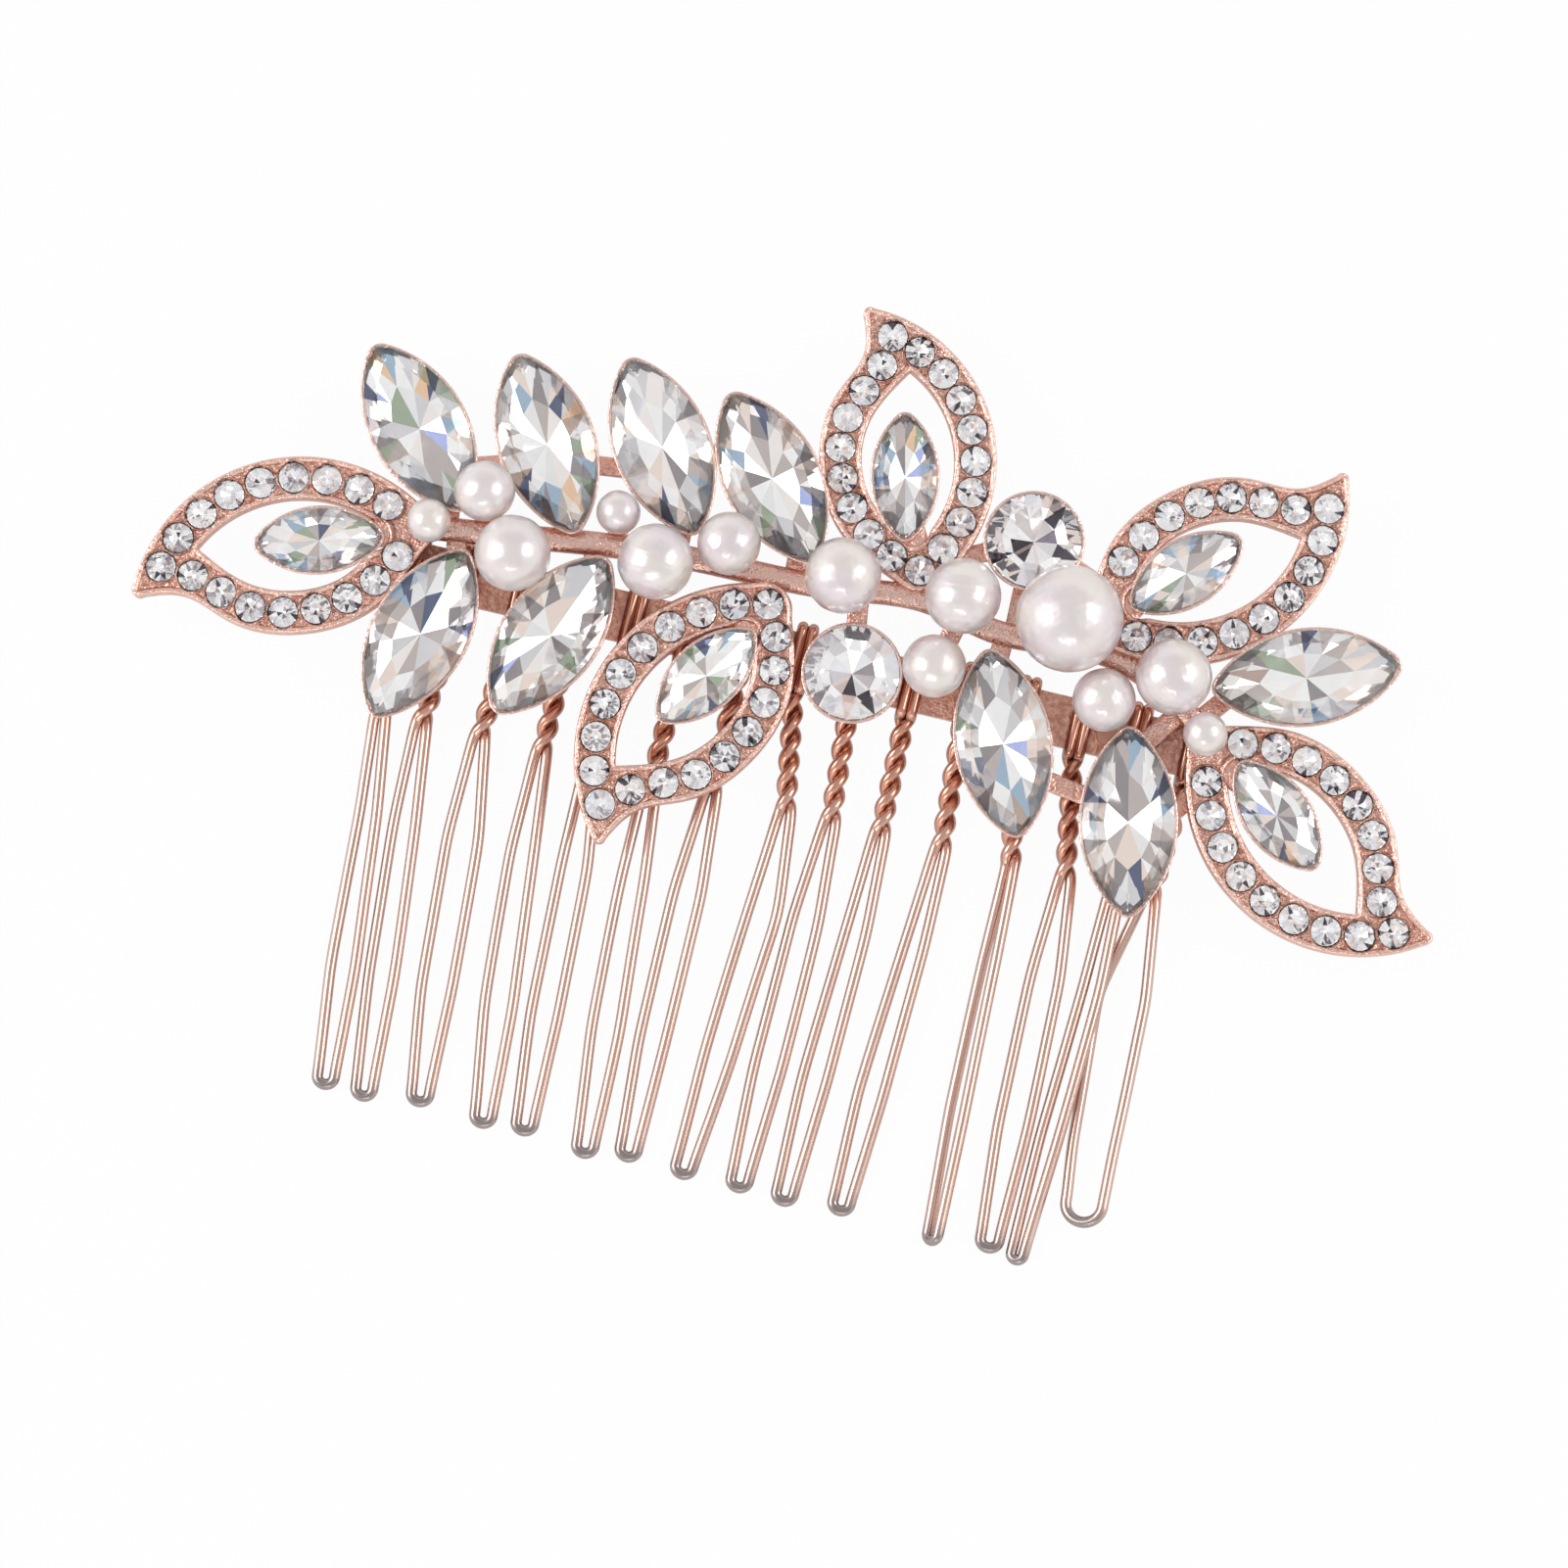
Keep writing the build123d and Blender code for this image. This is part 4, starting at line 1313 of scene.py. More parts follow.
@dataclass
class WireComb:
    """Hairpin teeth of round wire, each wound twice on the bar, twisted into a neck and opened into a loop.

    Attributes:
        finish: the wire's material.
        bends: how the teeth are bent, from left to right.
        bite: how far each strand of a neck lies inside the other's skin.
        pitch: from tooth to tooth.
        bar_width: width of the bar.
        neck: length of a neck.
        turns: how often it is twisted.
        places: where on a loop its bends lie.
        leg_gap: gap between the legs where the neck ends.
        ease: width of the bell that eases the bends.
        sides: sides of the round wire.
        waver: how far a leg wavers at most.
        waves: from and to how many radians a leg's waver runs.
        settle: over what length of a leg the easing of its bends sets in.
        radius: the wire's radius.
        wrap_slack: by how much a wrap is thinner.
        rod_slack: by how much the rest is thinner.
        wrap_steps: places along a wrap.
        neck_steps: places along a neck.
        leg_steps: places along a leg.
        tip_steps: places round the tip of a loop.
        joint: over how many places about a neck's end the line is eased, and the width of the bell for it.
        change: over how many places the rod's side direction changes there.
    """

    finish: bpy.types.Material
    bends: tuple[Bend, ...]
    bite: float = 0.03
    pitch: float = 4.5
    bar_width: float = 4.0
    neck: float = 9.4
    turns: float = 2.5
    places: Point = (8.0, 20.0)
    leg_gap: float = 0.02
    ease: float = 5.0
    sides: int = 16
    waver: float = 0.04
    waves: Point = (4, 7)
    settle: float = 2.0
    radius: float = LEVELS.wire / 2
    wrap_slack: float = 0.01
    rod_slack: float = 0.005
    wrap_steps: int = 40
    neck_steps: int = 120
    leg_steps: int = 150
    tip_steps: int = 26
    joint: Point = (7.0, 3.0)
    change: float = 20

    def middle(self, index: int) -> float:
        """Place of a tooth's middle along the bar."""
        return (index - (len(self.bends) - 1) / 2) * self.pitch

    def wrap(self, x: float) -> Surface:
        """Bends one turn round the bar: a rod on a rectangle whose corners are rounded by quarter circles.

        Args:
            x: its place along the bar.

        Returns:
            The turn, with the note "down" at 0.
        """
        reach = LEVELS.clearance + self.radius
        angle = full_turn(self.wrap_steps) + math.pi / self.wrap_steps
        way = np.stack([np.cos(angle), np.sin(angle)], 1)
        line = np.sign(way) * (self.bar_width / 2, LEVELS.bar / 2) + reach * way
        path = np.column_stack([np.full(self.wrap_steps, x), line[:, 0], LEVELS.bar_middle + line[:, 1]])
        rod = tube(path, self.radius - self.wrap_slack, np.array((1.0, 0, 0)), self.sides, closed=True)
        rod.notes["down"] = np.zeros(len(rod.points))
        return rod

    def leg(self, down: np.ndarray, sign: int, bend: Bend) -> np.ndarray:
        """How far a leg lies beside the axis: straight between its bends, which are eased by a bell.

        Args:
            down: distances along the loop.
            sign: 1 for the right leg and -1 for the left one.
            bend: how the tooth is bent.

        Returns:
            A distance beside the axis for each.
        """
        start = sign * (self.radius + self.leg_gap / 2)
        ends = (0.0, *self.places, bend.length)
        straight = np.interp(down, ends, (start, *(bend.right if sign > 0 else bend.left)))
        eased = soften(straight, self.ease, closed=False)
        return straight + np.clip(down / self.settle, 0, 1) * (eased - straight)

    def twist(self, top: np.ndarray, bend: Bend) -> tuple[np.ndarray, np.ndarray, np.ndarray]:
        """Twists a neck: top + s a + r (cos q(s) c + sin q(s) a x c), a helix about the axis a.

        Args:
            top: the start of its axis at the bar.
            bend: how the tooth is bent.

        Returns:
            Its two strands from the bar down, and the end of its axis.
        """
        run = np.array((bend.neck_run, -self.neck, 0.0))
        a = run / np.linalg.norm(run)
        c = np.array((-a[1], a[0], 0.0))
        s = np.linspace(0, np.linalg.norm(run), self.neck_steps)
        q = np.radians(360 * self.turns + bend.turn) * s / s[-1]
        helix = (self.radius - self.bite) * (np.cos(q)[:, None] * c + np.sin(q)[:, None] * np.cross(a, c))
        spine = top + s[:, None] * a
        return spine - helix, spine + helix, top + run

    def loop(self, end: np.ndarray, bend: Bend, dice: np.random.Generator) -> tuple[np.ndarray, np.ndarray]:
        """Opens a loop: end + y b + w(y) d, legs at places w beside the axis b, and a half circle at the tip.

        Args:
            end: the end of the neck's axis.
            bend: how the tooth is bent.
            dice: the source of the legs' waver.

        Returns:
            The line down the right leg and up the left one, and the direction that the loop faces.
        """
        turn = math.radians(bend.turn)
        rise = self.radius + max(-min(bend.left), max(bend.right)) * math.sin(turn)
        b = np.array((bend.loop_run, -bend.length, rise - LEVELS.bar_middle))
        reach = np.linalg.norm(b)
        b /= reach
        flat = np.array((-b[1], b[0], 0.0))
        flat /= np.linalg.norm(flat)
        d = flat * math.cos(turn) + np.cross(b, flat) * math.sin(turn)
        bow = (bend.right[-1] - bend.left[-1]) / 2
        y = np.linspace(0, reach - bow, self.leg_steps)[1:]
        share = y / reach
        wave = np.sin(share * dice.uniform(*self.waves) + dice.uniform(0, PHASE))
        sway = self.waver * wave * share * (1 - share) * 4
        right, left = (self.leg(y, sign, bend) + sway for sign in (1, -1))
        angle = np.linspace(0, math.pi, self.tip_steps)[1:-1]
        middle, radius = (right[-1] + left[-1]) / 2, (right[-1] - left[-1]) / 2
        down = np.concatenate([y, y[-1] + bow * np.sin(angle), y[::-1]])
        beside = np.concatenate([right, middle + radius * np.cos(angle), left[::-1]])
        return end + down[:, None] * b + beside[:, None] * d, np.cross(d, b)

    def line(
        self, index: int, bend: Bend, dice: np.random.Generator
    ) -> tuple[np.ndarray, np.ndarray, np.ndarray]:
        """The wire's middle line from one wrap to the other: a strand, the loop and the other strand.

        Args:
            index: number of the tooth, from 0 on the left.
            bend: how it is bent.
            dice: the source of its waver.

        Returns:
            The line, the side direction for its rod, and how far down the tooth each place is, from 0 to 1.
        """
        bar_side = self.bar_width / 2 + LEVELS.clearance + self.radius
        top = np.array((self.middle(index), -bar_side, LEVELS.bar_middle))
        first, last, end = self.twist(top, bend)
        loop, face = self.loop(end, bend, dice)
        path = np.concatenate([first, loop, last[::-1]])
        place = np.arange(len(path))
        width, steps = self.joint
        spots = (self.neck_steps, len(path) - self.neck_steps)
        near = sum(np.exp(-(((place - spot) / width) ** 2)) for spot in spots)
        path += np.clip(near, 0, 1)[:, None] * (soften(path, steps, closed=False) - path)
        past = np.minimum(place, len(path) - 1 - place)
        blend = np.clip((self.neck_steps - past) / self.change + 0.5, 0, 1)[:, None]
        side = blend * np.array((1.0, 0, 0)) + (1 - blend) * face * (1 if face[2] > 0 else -1)
        down = (top[1] - path[:, 1]) / (top[1] - path[:, 1].min())
        return path, side, down

    def tooth(self, index: int, dice: np.random.Generator) -> Surface:
        """Bends one tooth: its two wraps and the wire between them.

        Args:
            index: number of the tooth, from 0 on the left.
            dice: the source of its waver.

        Returns:
            The tooth.
        """
        x, strand = self.middle(index), self.radius - self.bite
        path, side, down = self.line(index, self.bends[index], dice)
        rod = tube(path, self.radius - self.rod_slack, side, self.sides, closed=False)
        rod.notes["down"] = np.repeat(down, self.sides)
        return join([self.wrap(x - strand), self.wrap(x + strand), rod])

    def build(self, dice: np.random.Generator) -> None:
        """Makes every tooth.

        Args:
            dice: the source of their wavers.
        """
        for index in range(len(self.bends)):
            name, made = f"tooth_{index + 1:02d}", self.tooth(index, dice)
            make_piece("wire_" + name, made, [self.finish], ["comb_" + name], smooth=True)


# -------------------------------------------------------------------- leaves
@dataclass(frozen=True)
class LeafPlace:
    """Where a leaf lies.

    Attributes:
        x: place of the base stone along the bar.
        y: its place up from the bar.
        turn: direction of the leaf in degrees.
        length: from the base stone to the tip stone.
        across: how far the pointed stone lies to the side.
        stone_turn: how far that stone is turned from the leaf's direction, in degrees.
    """

    x: float
    y: float
    turn: float
    length: float
    across: float
    stone_turn: float


@dataclass
class LeafWork:
    """Leaf castings: a band with a round rim along both edges and a collar round every small stone.

    Attributes:
        finish: the casting's material.
        places: where each leaf lies, by name.
        bulge: how far the full side's middle line bows out.
        hooked_bulge: how far the hooked side's does.
        hooked: that line's places between base and tip, as shares of the leaf's length and of its bulge.
        half_band: half the width of the band.
        back: height of its back.
        front: height of its rims.
        land: height of the land between them.
        rim: width of a rim.
        rim_drop: how far a rim's edges lie under its top.
        fall: width of the slope from rim to land.
        seat: radius of a small stone's seat.
        seat_floor: height of its floor.
        seat_slope: steepness of its wall.
        collar: distance from the seat to the far side of its collar.
        bead: height of the collar over the land.
        bead_reach: half the width of the collar's round top, as a share of the collar.
        stone_centre: from the base stone to the pointed stone.
        bridge: where the bridge starts, how far before the pointed stone's middle it ends, and its width.
        around: places round the leaf.
        across: places across the band's front.
        crowding: how much closer together they lie in its middle.
        round_shares: shares of those round the leaf on the full side, the nose and the hooked side.
        walls: places down the walls, as shares of the way from rim to back.
        fine: steps of the middle lines.
        outer_heel: where the outer edge's heel meets the full and the hooked side, as shares of their lines.
        inner_heel: the same for the inner edge.
        heels: how far past the base stone the outer and the inner heel lie towards the tip, in half bands.
        nose: the outer nose's place past the tip stone, along and across, and its size, in half bands.
        nose_ends: where the nose's arc starts and ends about that place, in its own size.
        corner: share of the full line past the inner corner, for each millimetre of half a band.
        outer_knots: where the outer edge follows the hooked side, from the nose to the heel.
        inner_knots: the same for the inner edge.
        eases: widths of the bells that ease the outer and the inner edge.
        shade: how far under the rims the painted shade starts, over what depth it grows, and what it grows
            to.
        seat_shade: strength and width of the painted shade along the seats' edges, in the gap round each
            stone.
        wall_shade: the painted shade of the walls and the back.
    """

    finish: bpy.types.Material
    places: dict[str, LeafPlace]
    bulge: float = 5.4
    hooked_bulge: float = 5.2
    hooked: tuple[Point, ...] = ((0.23, 0.81), (0.47, 1.0), (0.68, 0.81), (0.86, 0.27))
    half_band: float = 1.65
    back: float = LEVELS.arm_front
    front: float = LEVELS.leaf_front
    land: float = LEVELS.leaf_front - 0.45
    rim: float = 0.36
    rim_drop: float = 0.17
    fall: float = 0.12
    seat: float = 1.205
    seat_floor: float = LEVELS.leaf_front - 0.85
    seat_slope: float = 12
    collar: float = 0.14
    bead: float = 0.26
    bead_reach: float = 0.75
    stone_centre: float = 7.4
    bridge: Place = (1.65, 4.2, 2.2)
    around: int = 760
    across: int = 46
    crowding: float = 0.25
    round_shares: Place = (0.36, 0.09, 0.43)
    walls: Place = (0.35, 0.9, 1.0)
    fine: int = 2000
    outer_heel: Point = (0.04, 0.05)
    inner_heel: Point = (0.13, 0.15)
    heels: Point = (-1.0, 1.15)
    nose: Place = (1.5, 1.05, 0.35)
    nose_ends: tuple[Point, Point] = ((-0.2, -1.0), (-1.3, 0.45))
    corner: float = 0.075
    outer_knots: Span = (0.9, 0.72, 0.5, 0.27)
    inner_knots: Span = (0.7, 0.5, 0.3)
    eases: Point = (3.0, 5.0)
    shade: Place = (0.12, 0.42, 0.6)
    seat_shade: Point = (1.3, 0.16)
    wall_shade: float = 0.25

    def sides(self, length: float) -> tuple[np.ndarray, np.ndarray]:
        """Draws the two middle lines of the band from the base stone to the tip stone.

        Args:
            length: from the base stone to the tip stone.

        Returns:
            The full side, which is an arc, and the hooked side, both in even steps.
        """
        full = arc((0, 0), (length / 2, -self.bulge), (length, 0), self.fine + 1)
        between = [(a * length, b * self.hooked_bulge) for a, b in self.hooked]
        hooked = spline(np.array([(0, 0), *between, (length, 0)]), 2 * self.fine)
        return full, evenly(hooked, self.fine + 1)

    @staticmethod
    def beside(line: np.ndarray, share: float, distance: float) -> Point:
        """Finds a place beside a line.

        Args:
            line: the line, one row for each point.
            share: how far along it, from 0 to 1.
            distance: how far on its right as it runs to the tip.

        Returns:
            The place.
        """
        last = len(line) - 1
        k = min(int(round(share * last)), last - 1)
        run = line[k + 1] - line[k]
        run = run / np.linalg.norm(run)
        return (line[k][0] + run[1] * distance, line[k][1] - run[0] * distance)

    def edges(self, length: float) -> tuple[np.ndarray, np.ndarray]:
        """Draws the band's two edges, each of an arc, a nose, a hooked side and an arc round the heel.

        The sides lie half a band beside the middle lines. The outer edge's nose leans to the hooked side; the
        inner edge has a plain corner there.

        Args:
            length: from the base stone to the tip stone.

        Returns:
            The outer and the inner edge, point beside point.
        """
        full, hooked = self.sides(length)
        h = self.half_band
        counts = [int(self.around * share) for share in self.round_shares]
        counts.append(self.around - sum(counts))
        long, short = 400, 100

        right, left = self.beside(full, self.outer_heel[0], h), self.beside(hooked, self.outer_heel[1], -h)
        out, over, size = (h * share for share in self.nose)
        tip = (length + out, over)
        before, after = ((tip[0] + size * x, tip[1] + size * y) for x, y in self.nose_ends)
        back = np.array([after, *[self.beside(hooked, share, -h) for share in self.outer_knots], left])
        outer = [
            arc(right, (length / 2, -self.bulge - h), before, long),
            arc(before, tip, after, short),
            spline(back, long),
            arc(left, (h * self.heels[0], 0), right, short),
        ]

        corner = self.beside(full, 1 - h * self.corner, -h)
        right, left = self.beside(full, self.inner_heel[0], -h), self.beside(hooked, self.inner_heel[1], h)
        front = np.array([corner, *[self.beside(hooked, share, h) for share in self.inner_knots], left])
        inner = [
            arc(right, (length / 2, -self.bulge + h), corner, long),
            np.array(corner) + np.linspace(0, 1e-6, short)[:, None],
            spline(front, long),
            arc(left, (h * self.heels[1], 0), right, short),
        ]
        lines = []
        for parts, ease in zip((outer, inner), self.eases):
            line = np.concatenate([evenly(part, count + 1)[:-1] for part, count in zip(parts, counts)])
            lines.append(soften(line, ease, closed=True))
        return lines[0], lines[1]

    @staticmethod
    def distance(points: np.ndarray, line: np.ndarray) -> np.ndarray:
        """How far each point lies from the nearest point of a line, row by row of the grid."""
        return np.stack([np.linalg.norm(row[:, None] - line[None], axis=2).min(1) for row in points])

    def band(self, seats: np.ndarray, length: float) -> Surface:
        """Shapes the band, closed round its section and round the leaf.

        The top is a height over the plane: the greatest of a land, a rim within reach of either edge, whose
        section is the parabola front - drop (2 e / rim - 1)^2 of the distance e from the edge, and a collar
        round each seat, a parabola too. Inside the seats it is cut down. From the outer edge the section goes
        over the top, down the inner wall, under the band and up the outer wall. A note carries painted shade:
        it grows with how deep the land lies, and is greatest along the seats' edges, in the gap round each
        stone.

        Args:
            seats: middles of the seats, one row each.
            length: from the base stone to the tip stone.

        Returns:
            The band, with its base stone at the origin and its tip towards X.
        """
        outer, inner = self.edges(length)
        share = (np.linspace(0, 1, self.across) - 0.5) * 2
        share = (share * (1 - self.crowding * (1 - share**2)) + 1) / 2
        flat = outer[None] * (1 - share)[:, None, None] + inner[None] * share[:, None, None]
        edge = np.minimum(self.distance(flat, outer), self.distance(flat, inner))
        ring = np.linalg.norm(flat[:, :, None] - seats[None, None], axis=3).min(2) - self.seat

        wall = self.front - self.rim_drop
        rim = self.front - self.rim_drop * (2 * edge / self.rim - 1) ** 2
        slope = wall + (self.land - wall) * np.clip((edge - self.rim) / self.fall, 0, 1)
        hump = 1 - ((ring - self.collar / 2) / (self.collar * self.bead_reach)) ** 2
        height = np.where(edge < self.rim, rim, slope)
        height = np.maximum(height, self.land + self.bead * np.clip(hump, 0, 1))
        height = np.where(ring < 0, np.maximum(self.seat_floor, height + ring * self.seat_slope), height)
        # painted shade: darker the deeper the land lies under the rims, and darkest along the seats' edges
        start, depth, most = self.shade
        painted_shading = np.clip((self.front - start - height) / depth, 0, 1) * most
        strength, width = self.seat_shade
        painted_shading = np.maximum(painted_shading, np.clip(strength - np.abs(ring) / width, 0, 1))

        top = np.concatenate([flat, height[:, :, None]], 2)
        levels = [wall + (self.back - wall) * part for part in self.walls]
        down, up = ([at(line, level) for level in levels] for line in (inner, outer))
        under = at((outer + inner) / 2, self.back)
        rest = np.stack([*down, under, *up[::-1]])
        made = grid(np.concatenate([top, rest]), True)
        # painted shade on the walls and the back
        shade = np.full(len(rest) * self.around, self.wall_shade)
        made.notes["painted_shading"] = np.concatenate([painted_shading.ravel(), shade])
        return made.outward()

    def cup_and_bridge(self, place: LeafPlace) -> Surface:
        """Casts the pointed cup of the leaf's middle stone, and the bridge that carries it and ends below it.

        Args:
            place: where the leaf lies.

        Returns:
            Both as one surface, with the base stone at the origin.
        """
        cup = stone_cup(LEAF_STONE, self.back, self.front)
        cup = cup.moved(self.stone_centre, place.across, 0, place.stone_turn)
        start, before, width = self.bridge
        end = (self.stone_centre - before, place.across)
        return join([cup, strap((start, 0), end, width, self.back, self.land)])

    def build(self) -> None:
        """Makes the five leaves from one pattern, with the seats of each."""
        for name, place in self.places.items():
            c, s = math.cos(math.radians(place.turn)), math.sin(math.radians(place.turn))
            seats = seats_of(f"pave_stones_{name}")[:, :2] - (place.x, place.y)
            seats = seats @ np.array(((c, -s), (s, c)))
            for part, made in (("band", self.band(seats, place.length)), ("cup", self.cup_and_bridge(place))):
                made = made.moved(place.x, place.y, 0, place.turn)
                nodes = [f"leaf_frame_{name}"]
                make_piece(f"leaf_{part}_{name}", made, [self.finish], nodes, smooth=True)


def stone_cup(size: Place, back: float, girdle: float) -> Surface:
    """A tapered cup: its profile carried round a stone's outline.

    p(u, v) = outline(v) * scale(u) at height z(u), where the outline grows by the wall outside and by the
    stone's clearance inside. The profile runs from the foot up the outer wall, over a round lip and down
    inside; the foot and the floor are closed flat. The profile also gives each row its painted shade, dark
    at the foot and inside, and marks the lip, which is greyer and paler.

    Args:
        size: length, width and tip radius of the stone; a round stone has one length and width.
        back: height of the foot.
        girdle: height of the stone's girdle, which the lip stands just above.

    Returns:
        The cup, about the origin and lengthwise along X.
    """
    count, wall, gap, lip, edge = 96, 0.27, 0.03, 0.04, 0.04
    top = girdle + lip
    length, width, tip = size
    profile = (
        # growth, scale, height, painted shade (below zero marks the lip)
        (wall, 0.66, back, 0.7),
        (wall, 0.70, back + 0.12 * (top - back), 0.6),
        (wall, 0.985, top - 0.14, -0.5),
        (wall, 1, top - 0.06, -1),
        (wall - edge, 1, top - 0.01, -1),
        ((wall + gap) / 2, 1, top, -1),
        (gap + edge, 1, top - 0.01, -0.8),
        (gap, 1, top - 0.06, -0.4),
        (gap, 1, girdle, 0.5),
        (gap, 0.66, back + 0.15, 1),
    )
    rows = [
        at(outline((length + 2 * growth, width + 2 * growth, tip + growth), count) * scale, height)
        for growth, scale, height, _ in profile
    ]
    made = grid(np.stack(rows), False)
    # each row's painted shade, with the lip marked below zero
    made.notes["painted_shading"] = np.repeat([painted_shading for *_, painted_shading in profile], count)
    return made.outward()


def strap(start: Point, end: Point, width: float, low: float, high: float) -> Surface:
    """A flat bar with soft edges and blunt ends: a rounded oblong carried along a straight line.

    The oblong is (cos v, sin v) with both parts raised to a power and their signs kept; towards the two ends
    it draws in as sqrt(1 - p^2), where p runs from 0 to 1 over half a width past the line's ends.

    Args:
        start: where its line starts.
        end: where its line ends.
        width: its width.
        low: height of its back.
        high: height of its front.

    Returns:
        The bar, with a note of painted shade, which is greater at its back.
    """
    count, sides, lead, power, blunt = 40, 32, 0.12, 0.4, 0.6
    first, last = np.array(start), np.array(end)
    run = last - first
    length = float(np.linalg.norm(run))
    run = run / length
    angle = full_turn(sides)
    across, over = swell(np.cos(angle), power), swell(np.sin(angle), power)
    reach = width / 2
    along = -np.cos(np.linspace(lead, math.pi - lead, count)) * (length / 2 + reach)
    past = np.clip((np.abs(along) - length / 2) / reach, 0, 1)
    draw = np.sqrt(np.clip(1 - past**2, 0.0004, 1))
    centre = (first + last) / 2 + along[:, None] * run
    side = np.array((-run[1], run[0]))
    flat = centre[:, None] + (draw[:, None] * across[None])[:, :, None] * side * reach
    rise = (high - low) / 2 * (blunt + (1 - blunt) * draw)
    height = (low + high) / 2 + rise[:, None] * over[None]
    made = grid(np.concatenate([flat, height[:, :, None]], 2), False)
    # painted shade, greater towards the strap's back
    made.notes["painted_shading"] = np.tile(np.clip(0.42 - 0.35 * over, 0.1, 0.8), count)
    return made.outward()


# -------------------------------------------------------------------- branch
@dataclass
class BranchWork:
    """The cast branch: a crowned stem with arms, cups under the large stones and dishes under the pearls.

    Attributes:
        finish: the casting's material.
        line: places that the stem runs through.
        webs: ends of the small webs between neighbouring cups.
        leaves: where each leaf lies, by name.
        back: height of the casting's back.
        arm_front: height of its arms' front.
        girdle: height of the large stones' girdles.
        arm_width: width of an arm.
        web_width: width of a web.
        stem_width: width of the stem.
        stem_belly: height of the stem's widest line over its back.
        stem_crown: height of its ridge over that line.
        stem_powers: powers that round the section across, over and under its widest line.
        stem_ends: over what part of each half its ends draw in, as one part in so many.
        stem_shade: painted shade at the level of its widest line, and how much less it is at the ridge.
        stem_steps: places along it.
        stem_sides: places round it.
        root_share: how far out on a pointed stone its arm starts, as a share of the stone's length.
        dish_share: radius of a dish's mouth as a share of the pearl's.
        dish: the dish's rings from foot to lip: radius as a share of the mouth's, height as a share, painted
            shade.
        round_steps: places round a dish.
        leaf_pearls: numbers of the pearls that stand on a leaf and have no dish.
    """

    finish: bpy.types.Material
    line: tuple[Point, ...]
    webs: tuple[tuple[Point, Point], ...]
    leaves: dict[str, LeafPlace]
    back: float = LEVELS.casting
    arm_front: float = LEVELS.arm_front
    girdle: float = LEVELS.leaf_front
    arm_width: float = 1.6
    web_width: float = 1.5
    stem_width: float = 1.9
    stem_belly: float = 0.55
    stem_crown: float = 0.95
    stem_powers: Place = (0.7, 0.8, 0.5)
    stem_ends: int = 41
    stem_shade: Point = (0.45, 0.5)
    stem_steps: int = 240
    stem_sides: int = 36
    root_share: float = 0.36
    dish_share: float = 0.62
    dish: tuple[Place, ...] = (
        (0.70, 0.0, 0.8),
        (0.73, 0.1, 0.7),
        (0.80, 0.45, 0.5),
        (0.93, 0.8, 0.25),
        (1.02, 0.93, 0.05),
        (1.03, 0.99, 0.0),
        (0.97, 1.0, 0.6),
        (0.5, 0.9, 1.0),
    )
    round_steps: int = 48
    leaf_pearls: tuple[int, ...] = (1, 13)

    def stem(self) -> Surface:
        """Casts the stem: a half-round strip carried along a smooth line, thinner at both ends.

        Its section is w / 2 cos v to the first power across. Over the belly's line it rises by the crown's
        height times sin v to the second power, and under it falls by the belly's times sin v to the third.

        Returns:
            The stem, with a note of painted shade, which is greater at its back.
        """
        path = evenly(spline(np.array(self.line), 600), self.stem_steps)
        run = np.gradient(path, axis=0)
        run /= np.linalg.norm(run, axis=1, keepdims=True)
        side = np.stack([-run[:, 1], run[:, 0]], 1)
        angle = full_turn(self.stem_sides)
        sine = np.sin(angle)
        wide, high, low = self.stem_powers
        across = swell(np.cos(angle), wide) * self.stem_width / 2
        crown, belly = self.stem_crown * np.abs(sine) ** high, -self.stem_belly * np.abs(sine) ** low
        rise = self.stem_belly + np.where(sine > 0, crown, belly)
        out = np.abs(2 * np.linspace(0, 1, len(path)) - 1) * self.stem_ends
        past = np.clip(out - (self.stem_ends - 1), 0, 1)
        thin = np.sqrt(np.clip(1 - past**2, 0.01, 1))
        flat = path[:, None] + (thin[:, None] * across[None])[:, :, None] * side[:, None]
        height = self.back + thin[:, None] * rise[None]
        made = grid(np.concatenate([flat, height[:, :, None]], 2), False)
        level, less = self.stem_shade
        # painted shade, greater towards the back and less towards the ridge
        made.notes["painted_shading"] = np.tile(np.clip(level - less * sine, 0, 0.8), len(path))
        return made.outward()

    def nearest(self, place: np.ndarray) -> Point:
        """The place on the stem's line that is nearest to a point."""
        line = spline(np.array(self.line), 400)
        return tuple(line[np.argmin(np.linalg.norm(line - place, axis=1))])

    def arm(self, place: np.ndarray) -> Surface:
        """A flat arm from a place on the ornament to the stem."""
        return strap(tuple(place), self.nearest(place), self.arm_width, self.back, self.arm_front)

    def pearl_dish(self, centre: np.ndarray, radius: float) -> Surface:
        """Casts the flared dish under a pearl: a profile of rings turned about Z, with a rolled rim.

        Args:
            centre: the pearl's middle.
            radius: its radius.

        Returns:
            The dish.
        """
        mouth = radius * self.dish_share
        top = centre[2] - (radius**2 - mouth**2) ** 0.5
        rings = [
            at(circle(2 * mouth * share, self.round_steps), self.back + (top - self.back) * level)
            for share, level, _ in self.dish
        ]
        made = grid(np.stack(rings) + (centre[0], centre[1], 0), False)
        # each ring's painted shade, darkest at the foot and inside
        made.notes["painted_shading"] = np.repeat([painted_shading for *_, painted_shading in self.dish], self.round_steps)
        return made.outward()

